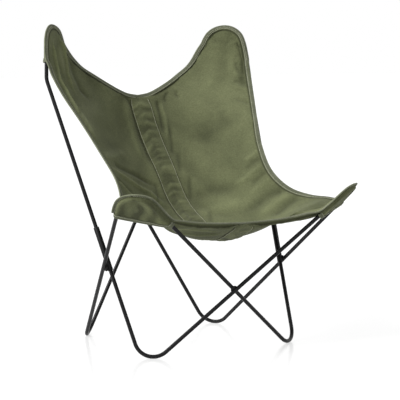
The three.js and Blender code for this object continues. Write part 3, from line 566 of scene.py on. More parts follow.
# %% A hairpin tip
class Tip:
    """The flat plane, middle line and two legs of one hairpin tip."""

    def __init__(self, corner, side_end, inner_end, radius):
        corner, side_end, inner_end = (np.array(p) for p in (corner, side_end, inner_end))
        back, ahead = unit(side_end - corner), unit(inner_end - corner)
        self.radius = radius
        self.half = math.acos(float(back @ ahead)) / 2
        self.down = unit(back + ahead)
        self.centre = corner + self.down * radius / math.sin(self.half)
        normal = unit(np.cross(back, ahead))
        self.normal = normal if normal[:2] @ corner[:2] > 0 else -normal
        self.to_side = unit(back - self.down * (back @ self.down))
        self.arc_half = radius * (math.pi / 2 - self.half)

    def beside(self, along, outside=0.0, behind=0.0):
        """A point along the rod, outside its centre line and behind the hairpin's plane."""
        sign = 1 if along >= 0 else -1
        on_bend = min(abs(along), self.arc_half)
        angle = sign * on_bend / self.radius
        spoke = -self.down * math.cos(angle) + self.to_side * math.sin(angle)
        leg = self.down * math.cos(self.half) + self.to_side * sign * math.sin(self.half)
        return (self.centre + spoke * (self.radius + outside) + leg * (abs(along) - on_bend)
                + self.normal * behind)

    def spine(self, along, behind):
        """The middle line of the hairpin at the level of a point on its rod."""
        level = max(0.0, float((self.beside(along) - self.centre) @ self.down))
        return self.centre + self.down * level + self.normal * behind

    def hem_length(self, along):
        """Length of the hem beside a length of rod."""
        return along + min(along, self.arc_half) * TIP_MARGIN / self.radius

    def rod_length(self, length):
        """Length of rod beside a length of hem that reaches past the bend."""
        return length - self.arc_half * TIP_MARGIN / self.radius


# %% A smooth line
class Line:
    """A smooth curve through points, read by length. The points before and after guide its ends."""

    def __init__(self, points, before=None, after=None, steps=24):
        points = np.array(points)
        before = 2 * points[0] - points[1] if before is None else before
        after = 2 * points[-1] - points[-2] if after is None else after
        points = np.vstack([before, points, after])
        knots = np.sqrt(np.linalg.norm(np.diff(points, axis=0), axis=1))
        pieces = []
        for i in range(1, len(points) - 2):
            a, b, c, d = points[i - 1:i + 3]
            before, here, after = knots[i - 1:i + 2]
            leave = ((b - a) / before - (c - a) / (before + here) + (c - b) / here) * here
            arrive = ((c - b) / here - (d - b) / (here + after) + (d - c) / after) * here
            t = np.linspace(0, 1, steps, endpoint=False)[:, None]
            pieces.append(b + leave * t + (3 * (c - b) - 2 * leave - arrive) * t ** 2
                          + (2 * (b - c) + leave + arrive) * t ** 3)
        self.points = np.vstack(pieces + [points[-2:-1]])
        self.run = run_of(self.points)
        self.length = self.run[-1]

    def at(self, length):
        """The point at a length along the curve."""
        return read_line(length, self.run, self.points)


# %% [markdown]
# ## The panel of cloth
# Each half of the sling is laid out in rows, as a sewer would draw it: a row starts at the
# side hem and ends at the back hem, the centre seam or the front hem. In the ears a row
# crosses the hairpin tip, over both its legs. Below them it hangs between its ends, bowed
# like a chain across the seat. Rows and columns stay the same for everything sewn to the
# panel, so a pocket, a hem or a fold is placed by its row and its share across.

# %% Where the hems run
FOOT_SPAN, FOOT_DEPTH, KINK_HEIGHT = 251.5 * MM, 212 * MM, 749 * MM
MIDDLE_DEPTH = 31.17 * MM
SIDE_HEM = (
    (1.367, 0.858, 1.048), (1.352, 0.811, 1.021), (1.285, 0.623, 0.943), (1.172, 0.321, 0.84),
    (1.078, 0.033, 0.74), (1.031, -0.33, 0.641), (1.105, -0.637, 0.583), (1.235, -0.905, 0.559),
    (1.36, -1.06, 0.553))
BACK_HEM = (
    (0.922, 1.04, 0.325), (0.87, 1.018, 0.23), (0.789, 0.988, 0.147), (0.645, 0.948, 0.072),
    (0.502, 0.915, 0.004), (0.341, 0.899, -0.063), (0.168, 0.889, -0.116), (0, 0.885, -0.134))
FRONT_HEM = ((0.79, -1.625, 0.507), (0.6, -1.6, 0.501), (0.4, -1.592, 0.498), (0.2, -1.592, 0.496),
             (0, -1.594, 0.495))
CENTRE_LINE = (
    (0.934, 0.778), (0.538, 0.651), (0.17, 0.533), (-0.08, 0.484), (-0.26, 0.463), (-0.58, 0.429),
    (-0.9, 0.412), (-1.12, 0.419), (-1.27, 0.436), (-1.43, 0.46), (-1.594, 0.495))
CENTRE_TOP, CENTRE_FRONT = 0.36, 0.93
ROUNDNESS, FRONT_ROUNDNESS, FRONT_ROUND_RUN, CORNER_INSET = 1.75, 0.5, 3, 0.22
BACK_POCKET, FRONT_POCKET_SIDE, FRONT_POCKET_INNER = 112 * MM, 84 * MM, 130 * MM
POCKET_HEM = 13 * MM
BAND_WIDTH = 68 * MM
BEND_ROWS, LEG_ROWS, BACK_ROWS, CENTRE_ROWS, FRONT_ROWS, SPREAD = 10, 8, 17, 54, 16, 14
GOAL_SHARE = 2 / 11


class Row:
    """One row of the panel, from the side hem to its inner end."""

    def __init__(self, kind, **facts):
        self.kind = kind
        self.wrap = 0.0
        self.roundness = 0.0
        self.__dict__.update(facts)


def pocket_stations(tip, depth):
    """Lengths along a hairpin from its apex to the pocket's mouth; the last run is the hem."""
    run = depth - tip.radius
    return np.concatenate([np.linspace(0, tip.arc_half, BEND_ROWS + 1),
                           tip.arc_half + np.linspace(0, run - POCKET_HEM, LEG_ROWS + 1)[1:],
                           [tip.arc_half + run - POCKET_HEM / 2, tip.arc_half + run]])


def tip_of(name, side, inner, mirror, radius):
    """One of the frame's four hairpin tips."""
    return Tip(*(loop_point(key, mirror) for key in (name, side, inner)), radius)


def hem_points(shares, sign, moves):
    """Points of a free hem from their shares; each follows its loop's half of the lap."""
    spans = np.array([sign * FOOT_SPAN, FOOT_DEPTH, KINK_HEIGHT])
    points = np.array(shares) * spans
    points[:, 1] += MIDDLE_DEPTH + moves
    return list(points)


def back_hem_points(sign, move):
    """Points of the back hem: shares of the inner legs' span and depth at a share of the way
    up from their kinks to their tips."""
    points = []
    low, high = (np.array(loop_point(name, False)) - (0, MIDDLE_DEPTH - LOOP_LAP / 2 * MM, 0)
                 for name in ("back_kink", "back_tip"))
    for across, deep, up in BACK_HEM:
        x, y, z = low + (high - low) * up
        points.append(np.array([-sign * across * x, deep * y + MIDDLE_DEPTH + move * across, z]))
    return points


def tight_points(tip, sign, extra):
    """Points beside a tip's bend, where the hem is held tight, and one a little below it."""
    arc = tip.arc_half
    return [tip.beside(sign * along, TIP_MARGIN)
            for along in (0, arc / 3, 2 * arc / 3, arc, arc + extra)]


# %% [markdown]
# ## The rows of one half
# The two halves are mirror images but for the lap of the rod loops. A half first draws its
# four border lines, then sets its rows between them, and last finds, for every row, the
# direction that leads from each hem into the cloth.

# %% The rows of one half
class Half:
    """The rows of one half of the sling; sign is 1 for the half at +X."""

    def __init__(self, sign):
        self.sign = sign
        back_move = sign * LOOP_LAP / 2 * MM
        back_mirror, front_mirror = sign > 0, sign < 0
        self.back_tip = tip_of("back_tip", "side_kink", "back_kink", back_mirror, BACK_TIP_BEND)
        self.front_tip = tip_of("front_tip", "back_foot", "front_foot", front_mirror,
                                FRONT_TIP_BEND)
        side = hem_points(SIDE_HEM, sign, np.linspace(back_move, -back_move, len(SIDE_HEM)))
        back = back_hem_points(sign, back_move)
        front = hem_points(FRONT_HEM, sign, -back_move * np.array(FRONT_HEM)[:, 0])
        centre = [back[-1]] + hem_points([(0, y, z) for y, z in CENTRE_LINE], sign, 0)
        side_end = tight_points(self.front_tip, 1, 0.4 * FRONT_POCKET_SIDE)[::-1]
        arcs = [tip.arc_half / 3 for tip in (self.back_tip, self.front_tip)]
        self.side_hem = Line(tight_points(self.back_tip, 1, 0.42 * BACK_POCKET) + side + side_end,
                             self.back_tip.beside(-arcs[0], TIP_MARGIN),
                             self.front_tip.beside(-arcs[1], TIP_MARGIN))
        self.back_hem = Line(tight_points(self.back_tip, -1, 0.06 * BACK_POCKET) + back,
                             self.back_tip.beside(arcs[0], TIP_MARGIN))
        self.front_hem = Line(tight_points(self.front_tip, -1, 0.62 * FRONT_POCKET_INNER) + front,
                              self.front_tip.beside(arcs[1], TIP_MARGIN))
        self.centre_line = Line(centre)
        self.rows = self.make_rows()
        self.first_centre = next(i for i, row in enumerate(self.rows) if row.kind == "centre")
        self.last_centre = self.first_centre + CENTRE_ROWS
        for row in self.rows[:self.back_count]:
            lean = 1 - smooth_share(row.along_side / BACK_POCKET)
            shift = (self.back_tip.to_side * EAR_LEAN + self.back_tip.down * EAR_DROP) * lean
            row.side, row.inner = row.side + shift, row.inner + shift
        for i, row in enumerate(self.rows):
            row.side_inward = self.side_inward(i)
            row.inner_inward = self.inner_inward(i)

    def ear_rows(self, tip, side_depth, inner_depth, side_at, inner_line):
        """The rows over a hairpin tip."""
        stations = zip(pocket_stations(tip, side_depth), pocket_stations(tip, inner_depth))
        return [Row("ear", wrap=1.0, tip=tip, along_side=side, along_inner=inner,
                    side=self.side_hem.at(side_at(tip.hem_length(side))),
                    inner=inner_line.at(tip.hem_length(inner))) for side, inner in stations]

    def end_rows(self, kind, tip, line, start, count, fade, share_at):
        """The rows that end on the back or the front hem, from the ear on."""
        full = 1.0 if kind == "back" else FRONT_ROUNDNESS
        rows = []
        for i in range(1, count + 1):
            share = i / (count + 1)
            length = start + (line.length - start) * share
            rows.append(Row(
                kind, share=share_at(share), order=share, inner=line.at(length), tip=tip,
                along_inner=tip.rod_length(length), roundness=full * math.sin(share * math.pi / 2),
                wrap=1 - float(smooth_share(share / fade))))
        return rows

    def make_rows(self):
        """All rows from the apex of the back tip to the apex of the front tip."""
        whole = self.side_hem.length
        back_ear = self.ear_rows(self.back_tip, BACK_POCKET, BACK_POCKET,
                                 lambda run: run, self.back_hem)
        front_ear = self.ear_rows(self.front_tip, FRONT_POCKET_SIDE, FRONT_POCKET_INNER,
                                  lambda run: whole - run, self.front_hem)
        self.back_count, self.front_count = len(back_ear), len(front_ear)
        ends = [tip.hem_length(ear[-1].along_inner) for tip, ear in
                ((self.back_tip, back_ear), (self.front_tip, front_ear))]
        start = self.back_tip.hem_length(back_ear[-1].along_side)
        end = whole - self.front_tip.hem_length(front_ear[-1].along_side)
        middle = self.end_rows("back", self.back_tip, self.back_hem, ends[0], BACK_ROWS, 4 / 6,
                               lambda share: CENTRE_TOP * share)
        for i in range(CENTRE_ROWS + 1):
            share = i / CENTRE_ROWS
            round_share = min(1, (1 - share) * FRONT_ROUND_RUN)
            middle.append(Row(
                "centre", share=CENTRE_TOP + (CENTRE_FRONT - CENTRE_TOP) * share, centre=share,
                inner=self.centre_line.at(share * self.centre_line.length),
                roundness=FRONT_ROUNDNESS + (1 - FRONT_ROUNDNESS) * round_share))
        middle += self.end_rows("front", self.front_tip, self.front_hem, ends[1], FRONT_ROWS, 0.5,
                                lambda share: 1 + (CENTRE_FRONT - 1) * share)[::-1]
        for row in middle:
            length = start + (end - start) * row.share
            row.side = self.side_hem.at(length)
            if row.wrap > 0:
                run = length if row.kind == "back" else whole - length
                row.along_side = row.tip.rod_length(run)
        return back_ear + middle + front_ear[::-1]

    def side_inward(self, i):
        """The direction from the side hem into the cloth."""
        row = self.rows[i]
        if row.kind == "ear":
            return unit(row.tip.beside(row.along_side) - row.side)
        power = 1 + (ROUNDNESS - 1) * row.roundness
        return unit((row.inner - row.side) * np.array([1, power, power]))

    def inner_inward(self, i):
        """The direction from the back or front hem into the cloth."""
        row = self.rows[i]
        if row.kind == "ear":
            return unit(row.tip.beside(-row.along_inner) - row.inner)
        on_end = row.kind == "centre" and row.centre in (0, 1)
        along = (np.array([self.sign, 0, 0]) if on_end
                 else unit(self.rows[i + 1].inner - self.rows[i - 1].inner))
        in_front = row.kind == "front" or (row.kind == "centre" and row.centre == 1)
        steps_in = round(CENTRE_ROWS * GOAL_SHARE)
        goal_row = self.last_centre - steps_in if in_front else self.first_centre + steps_in
        goal = self.rows[goal_row].inner
        middling = 1 if row.kind == "centre" else row.order
        into = row.side + (goal - row.side) * middling - row.inner
        return unit(into - along * (into @ along))


HALVES = {"right": Half(1), "left": Half(-1)}
print("each half has", len(HALVES["right"].rows), "rows")

# %% [markdown]
# ## Points across a row
# In an ear a row lies over the hairpin. On the open sling it hangs between its two hems. Where
# the cloth leaves the tip, a row is a mixture of both, by its wrap.

# %% Points across a row
def ear_row_points(row, layer):
    """Across an ear: seam, over one leg, the middle, over the other leg, seam. The layer lies
    in front of the hairpin for -1 and behind it for 1."""
    tip, lift = row.tip, layer * CLOTH_LIFT

    def side_of(hem, inward, along):
        seam = hem + inward * (HEM_WIDTH + TOUCH_GAP)
        seam = seam + tip.normal * (layer * SEAM_LIFT - HEM_FORWARD)
        outer = tip.beside(along, ROD_WRAP, lift)
        over = tip.beside(along, -ROD_WRAP, lift)
        if row.kind != "ear":
            outer = outer + inward * max(0, SEAM_STANDOFF - ROD_WRAP - (outer - seam) @ inward)
            over = over + inward * max(0, SEAM_STANDOFF + ROD_WRAP - (over - seam) @ inward)
        return [seam, outer, over], tip.spine(along, lift - layer * TIP_SAG)

    first, spine_a = side_of(row.side, row.side_inward, row.along_side)
    second, spine_b = side_of(row.inner, row.inner_inward, -row.along_inner)
    spine = (spine_a + spine_b) / 2
    shares = np.linspace(0, 1, SPREAD + 1)[1:-1, None]
    points = np.vstack([first, first[2] + (spine - first[2]) * shares, [spine],
                        (second[2] + (spine - second[2]) * shares)[::-1], second[::-1]])
    if layer > 0:
        return points
    span = points[-1] - points[0]
    along = ((points - points[0]) @ span / max(span @ span, 1e-12))[:, None]
    rise = np.minimum((points[0] + span * along - points) @ tip.normal, 0)
    return points + rise[:, None] * tip.normal


def hanging_row_points(half, row):
    """Across the open sling: a narrow strip leaves each hem squarely, and the cloth between
    the two strips is bowed."""
    on_centre = row.kind == "centre"
    on_end = on_centre and row.centre in (0, 1)
    start = row.side + row.side_inward * (HEM_WIDTH + TOUCH_GAP)
    end = row.inner.copy()
    if not on_centre or on_end:
        end += row.inner_inward * (HEM_WIDTH + TOUCH_GAP)
    if on_centre:
        end[0] = 0
    near, far = SEAM_STANDOFF - ROD_WRAP, SEAM_STANDOFF + ROD_WRAP
    side_strip = [start + row.side_inward * step for step in (0, near, far)]
    end_direction = np.array([half.sign, 0, 0]) if on_centre else row.inner_inward
    inset = row.inner_inward * CORNER_INSET if on_end else 0
    steps = (BAND_WIDTH / 2, BAND_WIDTH / 4, 0) if on_centre else (far, near, 0)
    end_strip = [end + (end_direction + inset) * step for step in steps]
    rest = np.linspace(1, 0, 2 * SPREAD + 1)
    bow = rest + (rest ** ROUNDNESS - rest) * row.roundness
    weights = np.stack([rest, bow, bow], 1)
    middle = end_strip[0] + (side_strip[2] - end_strip[0]) * weights
    return np.vstack([side_strip[:2], middle, end_strip[1:]])


def panel_points(half):
    """The whole grid of one half, row by row."""
    grid = []
    for row in half.rows:
        if row.wrap == 1:
            grid.append(ear_row_points(row, -1))
            continue
        points = hanging_row_points(half, row)
        if row.wrap > 0:
            points = points + (ear_row_points(row, -1) - points) * row.wrap
        grid.append(points)
    return np.array(grid)


def finer(grid, times, axis=0):
    """Smoothly adds points between the rows (axis 0) or columns (axis 1) of a grid."""
    grid = np.moveaxis(grid, axis, 0)
    ends = np.concatenate([[2 * grid[0] - grid[1]], grid, [2 * grid[-1] - grid[-2]]])
    a, b, c, d = ends[:-3], ends[1:-2], ends[2:-1], ends[3:]
    out = []
    for k in range(times):
        t = k / times
        bend = 2 * a - 5 * b + 4 * c - d + t * (3 * (b - c) + d - a)
        out.append(b + 0.5 * t * (c - a + t * bend))
    fine = np.stack(out, 1).reshape(-1, *grid.shape[1:])
    return np.moveaxis(np.concatenate([fine, grid[-1:]]), 0, axis)


def grid_normals(grid, sign):
    """The direction off the cloth towards the sitter at each point of a grid."""
    down = np.gradient(grid, axis=0)
    across = np.gradient(grid, axis=1)
    return unit(np.cross(across, down)) * sign


def grid_area(grid):
    """The area of the cloth in a grid."""
    one = np.cross(grid[1:, :-1] - grid[:-1, :-1], grid[1:, 1:] - grid[:-1, :-1])
    two = np.cross(grid[1:, 1:] - grid[:-1, :-1], grid[:-1, 1:] - grid[:-1, :-1])
    return float((np.linalg.norm(one, axis=2) + np.linalg.norm(two, axis=2)).sum() / 2)


def edge_runs(grid):
    """Lengths down the cloth, across it from its side hem, and across it from its inner end."""
    down = np.concatenate([np.zeros((1, grid.shape[1])),
                           np.cumsum(np.linalg.norm(np.diff(grid, axis=0), axis=2), 0)])
    across = np.concatenate([np.zeros((grid.shape[0], 1)),
                             np.cumsum(np.linalg.norm(np.diff(grid, axis=1), axis=2), 1)], 1)
    return down, across, across[:, -1:] - across


# %% [markdown]
# ## Cloth from a grid
# A sheet is a grid of quads with its UV map in metres, so that the weave keeps its size, and
# with a painted light and shade value at each vertex. Solidify then gives it its thickness.

# %% Cloth from a grid
def write_uv(mesh, uv):
    """Writes one UV point, in metres, for each vertex of a mesh."""
    loops = np.empty(len(mesh.loops), dtype=np.int32)
    mesh.loops.foreach_get("vertex_index", loops)
    layer = mesh.uv_layers.new(name="cloth")
    layer.data.foreach_set("uv", uv[loops].astype(np.float32).ravel())


def write_shade(mesh, values):
    """Writes the painted shade of each vertex: above 0 a painted highlight on a ridge, below 0
    painted shade in a crease.
    """
    layer = mesh.attributes.new("shade", "FLOAT", "POINT")
    layer.data.foreach_set("value", np.asarray(values, np.float32).ravel())


def cloth_piece(name, grid, sign):
    """A mesh of quads from a grid of points, with a UV map in metres."""
    rows, columns = grid.shape[:2]
    index = np.arange(rows * columns).reshape(rows, columns)
    quads = np.stack([index[:-1, :-1], index[1:, :-1], index[1:, 1:], index[:-1, 1:]], -1)
    quads = quads.reshape(-1, 4)[:, ::-1 if sign > 0 else 1]
    piece = new_piece(name, grid, quads.tolist())
    down, _, from_inner = edge_runs(grid)
    along = np.broadcast_to(down.mean(1)[:, None], from_inner.shape)
    write_uv(piece.data, np.stack([-from_inner, along], -1).reshape(-1, 2))
    return piece


def thicken(piece, thickness):
    """Joins the points that lie on one another and gives a sheet its thickness with Solidify."""
    edit_all(piece)
    bpy.ops.mesh.remove_doubles(threshold=2 * SAME_POINT)
    end_edit()
    wall = piece.modifiers.new("wall", "SOLIDIFY")
    wall.thickness = thickness
    wall.offset = 0.0
    wall.use_even_offset = False
    bpy.ops.object.modifier_apply(modifier="wall")
    return piece


# %% [markdown]
# ## Canvas
# Both halves get their shape from the rows above, read at a finer step. The edge of the
# cloth runs a little way under its hem, as it does in the fold of a real one.

# %% How the cloth settles
PULL = 0.6
CLOTH = 1.5 * MM
CLOTH_CLEAR = ROD_RADIUS + CLOTH / 2 + TOUCH_GAP
UNDER_HEM = 3 * MM
FINE_ROWS, FINE_COLUMNS = 3, 3


def widen_under_hems(half, grid):
    """Moves the cloth's edge out into the fold of the hem, except along the centre seam."""
    out_side = unit(grid[:, 0] - grid[:, 1])
    out_inner = unit(grid[:, -1] - grid[:, -2])
    hemmed = np.array([row.kind != "centre" for row in half.rows])
    grid = grid.copy()
    grid[:, 0] += out_side * UNDER_HEM
    grid[:, -1] += out_inner * UNDER_HEM * hemmed[:, None]
    for edge in (half.first_centre, half.last_centre):
        grid[edge, -1] += half.rows[edge].inner_inward * -UNDER_HEM
    return grid


def rod_line(tip, reach=0.2, step=0.002):
    """Points along a hairpin's centre line, down both of its legs."""
    lengths = np.arange(-reach, reach + step, step)
    return np.array([tip.beside(length) for length in lengths])


def clear_of_rod(points, tip, line, layer):
    """Pushes the points of a cloth layer off the hairpin, forwards for -1 and back for 1."""
    flat = points.reshape(-1, 3)
    gaps = flat[:, None] - line[None]
    nearest = gaps[np.arange(len(flat)), (gaps ** 2).sum(2).argmin(1)]
    height = nearest @ tip.normal
    beside = np.linalg.norm(nearest - height[:, None] * tip.normal, axis=1)
    needed = np.sqrt(np.maximum(CLOTH_CLEAR ** 2 - beside ** 2, 0))
    push = np.where(beside < CLOTH_CLEAR, np.maximum(needed - layer * height, 0), 0)
    return (flat + layer * push[:, None] * tip.normal).reshape(points.shape)


def mean_of_sides(grid):
    """The mean of the four neighbours of every inner point of a grid."""
    return (grid[:-2, 1:-1] + grid[2:, 1:-1] + grid[1:-1, :-2] + grid[1:-1, 2:]) / 4


def bend_away_creases(grid, passes=700, hold=0.0003, stiffness=0.2):
    """Spreads sharp bends over their neighbours and keeps the broad shape."""
    start, grid = grid.copy(), grid.copy()
    for _ in range(passes):
        bend = grid
        for _ in range(2):
            step = np.zeros_like(bend)
            step[1:-1, 1:-1] = mean_of_sides(bend) - bend[1:-1, 1:-1]
            bend = step
        grid[1:-1, 1:-1] += hold * (start - grid)[1:-1, 1:-1] - stiffness * bend[1:-1, 1:-1]
    return grid


def close_slit(grid, row, next_row):
    """At the apex the first row runs down the middle of the ear and back, so it is one line
    inside the cloth: its two halves settle together."""
    line, near = grid[row], grid[next_row]
    mean = (near[1:-1] + near[::-1][1:-1] + line[:-2] + line[2:]) / 4
    line[1:-1] += PULL * (mean - line[1:-1])
    grid[row] = (line + line[::-1]) / 2


def relax(grid, tips, layer, passes=120, hold=0.012, check=6, slit=None):
    """Lets the cloth between its borders settle, as tension does, clear of the rods. A little
    of the first shape is held, so that a belly stays and only creases go."""
    start, grid = grid.copy(), grid.copy()
    for i in range(passes):
        inner = grid[1:-1, 1:-1]
        pull = PULL * (mean_of_sides(grid) - inner)
        grid[1:-1, 1:-1] = inner + pull + hold * (start[1:-1, 1:-1] - inner)
        if slit is not None:
            close_slit(grid, slit, 1 if slit == 0 else -2)
        if (i + 1) % check == 0 or i == passes - 1:
            for rows, tip, line in tips:
                grid[rows] = clear_of_rod(grid[rows], tip, line, layer)
    return grid


# %% The two panels
panels = {}
for side, half in HALVES.items():
    half.coarse = panel_points(half)
    half.facing = grid_normals(half.coarse, half.sign)
    soft = bend_away_creases(widen_under_hems(half, half.coarse))
    fine = finer(finer(soft, FINE_ROWS), FINE_COLUMNS, axis=1)
    near_back = slice(0, FINE_ROWS * (half.back_count + BACK_ROWS))
    near_front = slice(-FINE_ROWS * (half.front_count + FRONT_ROWS), None)
    half.tips = [(near_back, half.back_tip, rod_line(half.back_tip)),
                 (near_front, half.front_tip, rod_line(half.front_tip))]
    fine = relax(fine, half.tips, -1)
    ears = ((slice(0, FINE_ROWS * (half.back_count + 2)), 0),
            (slice(-FINE_ROWS * (half.front_count + 2), None), -1))
    for (rows, slit), (_, tip, line) in zip(ears, half.tips):
        fine[rows] = relax(fine[rows], [(slice(None), tip, line)], -1,
                           passes=500, hold=0.002, check=50, slit=slit)
    panels[side] = fine
    print("the", side, "panel is a grid of", fine.shape[:2], "and", round(grid_area(fine), 3), "m2")

# %% [markdown]
# ## Folds
# A sling that has been sat in keeps its folds: long ones hang from the back tips, short ones
# fan out from the side hems at the waist, and broad soft ones lie over the seat. Each fold is a
# ridge, or a valley where its height is negative, along a path of shares down and across the
# panel, with a width and a height in millimetres.

# %% Folds
FOLDS = {
    "left": (
        (((0.055, 0.24), (0.109, 0.29), (0.14, 0.27), (0.168, 0.23), (0.189, 0.14), (0.22, 0.135),
          (0.253, 0.104), (0.275, 0.06)), 5, 6.5),
        (((0.055, 0.84), (0.085, 0.88), (0.116, 0.88), (0.15, 0.73), (0.181, 0.5), (0.207, 0.37),
          (0.235, 0.3)), 5, 6.0),
        (((0.08, 0.48), (0.13, 0.45), (0.17, 0.36), (0.2, 0.27)), 9, -1.5),
        (((0.07, 0.62), (0.12, 0.6), (0.16, 0.48), (0.19, 0.36)), 14, 2.5),
        (((0.13, 0.95), (0.16, 0.87), (0.19, 0.67), (0.22, 0.51), (0.26, 0.42)), 12, -5.0),
        (((0.2, 0.1), (0.28, 0.12), (0.364, 0.08)), 12, 3.0),
        (((0.45, 0.05), (0.468, 0.385), (0.483, 0.72), (0.512, 0.9)), 9, 6.0),
        (((0.43, 0.2), (0.437, 0.323), (0.452, 0.656), (0.47, 0.896)), 10, -5.0),
        (((0.48, 0.05), (0.49, 0.2), (0.505, 0.4)), 9, -4.5),
        (((0.412, 0.03), (0.408, 0.35), (0.4, 0.6)), 15, 3.5),
        (((0.50, 0.05), (0.515, 0.2), (0.53, 0.4)), 11, 4.0),
        (((0.272, 0.92), (0.31, 0.915), (0.36, 0.91), (0.4, 0.91), (0.44, 0.905)), 5, -5.0),
        (((0.29, 0.86), (0.33, 0.85), (0.38, 0.84), (0.42, 0.83)), 9, 3.0),
        (((0.46, 0.88), (0.49, 0.83), (0.51, 0.76)), 8, -4.0),
        (((0.55, 0.08), (0.57, 0.3), (0.56, 0.6)), 22, -4.0),
        (((0.62, 0.05), (0.63, 0.25), (0.61, 0.5)), 18, 4.0),
        (((0.61, 0.45), (0.64, 0.6), (0.66, 0.75), (0.67, 0.92)), 34, -4.0),
    ),
    "right": (
        (((0.067, 0.09), (0.103, 0.06), (0.147, 0.055), (0.176, 0.075), (0.205, 0.1)), 9, -7.0),
        (((0.15, 0.22), (0.172, 0.16), (0.2, 0.115)), 7, -2.6),
        (((0.243, 0.8), (0.26, 0.72), (0.275, 0.64)), 6, -3.0),
        (((0.25, 0.86), (0.27, 0.8), (0.3, 0.74)), 6, -3.0),
        (((0.05, 0.3), (0.12, 0.27), (0.2, 0.3)), 14, 2.5),
        (((0.189, 0.03), (0.181, 0.27)), 8, 2.6),
        (((0.204, 0.03), (0.198, 0.24)), 7, -2.6),
        (((0.22, 0.03), (0.212, 0.22)), 8, 2.4),
        (((0.253, 0.03), (0.246, 0.18)), 8, -2.4),
        (((0.405, 0.02), (0.44, 0.2)), 8, 2.6),
        (((0.43, 0.02), (0.462, 0.22)), 8, -2.6),
        (((0.458, 0.02), (0.486, 0.24), (0.492, 0.36)), 9, 3.2),
        (((0.487, 0.02), (0.508, 0.24)), 8, -2.8),
        (((0.517, 0.02), (0.532, 0.3)), 10, 2.6),
        (((0.576, 0.03), (0.561, 0.18), (0.568, 0.5)), 16, -4.5),
        (((0.606, 0.04), (0.597, 0.2), (0.598, 0.45)), 16, 4.0),
        (((0.636, 0.04), (0.625, 0.2), (0.63, 0.4)), 14, -3.5),
        (((0.5, 0.35), (0.488, 0.6), (0.496, 0.86)), 22, -4.0),
        (((0.54, 0.4), (0.53, 0.7), (0.535, 0.9)), 20, 3.5),
        (((0.30, 0.2), (0.34, 0.35), (0.39, 0.55)), 34, -4.0),
        (((0.29, 0.84), (0.33, 0.85), (0.37, 0.88)), 6, -4.0),
        (((0.3, 0.8), (0.34, 0.81), (0.38, 0.87)), 6, 2.6),
        (((0.35, 0.79), (0.385, 0.83), (0.41, 0.88)), 6, -3.4),
        (((0.4, 0.8), (0.425, 0.84), (0.45, 0.89)), 7, -2.6),
        (((0.45, 0.78), (0.475, 0.83), (0.5, 0.89)), 8, -3.0),
        (((0.53, 0.76), (0.55, 0.83), (0.57, 0.89)), 8, -3.0),
        (((0.05, 0.72), (0.16, 0.6), (0.27, 0.45)), 26, 2.5),
        (((0.76, 0.58), (0.81, 0.66), (0.85, 0.7), (0.9, 0.73)), 15, 6.0),
    ),
}
# The sharp tops of the two ear folds, and folds that stand out on the underside; each is also
# painted lighter, as a painted highlight
CRESTS = {
    "left": (
        (((0.05, 0.24), (0.109, 0.29), (0.14, 0.27), (0.168, 0.23), (0.189, 0.14), (0.22, 0.135),
          (0.24, 0.11)), 4, 2.4),
        (((0.06, 0.85), (0.085, 0.88), (0.116, 0.88), (0.15, 0.73), (0.181, 0.5),
          (0.207, 0.37)), 4, 2.4),
        (((0.655, 0.46), (0.672, 0.562), (0.687, 0.719), (0.698, 0.875)), 3.5, -3.0),
        (((0.638, 0.52), (0.654, 0.625), (0.672, 0.781), (0.682, 0.896)), 3.5, -3.0),
        (((0.62, 0.66), (0.636, 0.771), (0.646, 0.885), (0.664, 0.917)), 4, -2.5),
    ),
    "right": (),
}
# Slack cloth that hangs below the front hem, beside the front tips, with its depth
SLACK = (((0.68, 0.9), (0.74, 0.88), (0.79, 0.84), (0.83, 0.8), (0.88, 0.8)), 26, 13.0)


# %% Lift along the folds
def along_grid(grid, path, count=40):
    """Points on the cloth along a path of shares down and across it."""
    rows, columns = grid.shape[:2]
    path = np.array(path)
    reach = np.linspace(0, len(path) - 1, count)
    down, across = (np.interp(reach, np.arange(len(path)), path[:, k]) for k in (0, 1))
    r, c = down * (rows - 1), across * (columns - 1)
    r0, c0 = np.minimum(r.astype(int), rows - 2), np.minimum(c.astype(int), columns - 2)
    fr, fc = (r - r0)[:, None], (c - c0)[:, None]
    near = grid[r0, c0] * (1 - fc) + grid[r0, c0 + 1] * fc
    far = grid[r0 + 1, c0] * (1 - fc) + grid[r0 + 1, c0 + 1] * fc
    return near * (1 - fr) + far * fr


def fold_lift(grid, folds):
    """How far each point rises for the folds; a fold runs out towards its ends."""
    flat = grid.reshape(-1, 3)
    lift = np.zeros(len(flat))
    for path, width, height in folds:
        line = along_grid(grid, path)
        gaps = ((flat[:, None] - line[None]) ** 2).sum(2)
        nearest = gaps.argmin(1)
        away = gaps[np.arange(len(flat)), nearest] / (width * MM) ** 2
        share = nearest / (len(line) - 1)
        fade = smooth_share(np.minimum(share, 1 - share) * 4 + 0.15)
        lift += height * MM * np.exp(-away) * fade
    return lift.reshape(grid.shape[:2])


# %% [markdown]
# ## Puckers
# Sewn edges draw the cloth up, so small puckers run off every hem and off the band. They are
# smooth noise, stretched squarely off the edge, which dies away into the cloth; a slower noise
# keeps the rest of the cloth from looking pressed. Every noise has its own fixed seed.

# %% Puckers
def noise_of(a, b, seed):
    """Smooth noise between -1 and 1 at each pair of values."""
    flat = [noise.noise(Vector((x, y, seed))) for x, y in zip(a.ravel(), b.ravel())]
    return np.array(flat).reshape(a.shape)


SIDE_SLANT, INNER_SLANT = 0.25, 0.2


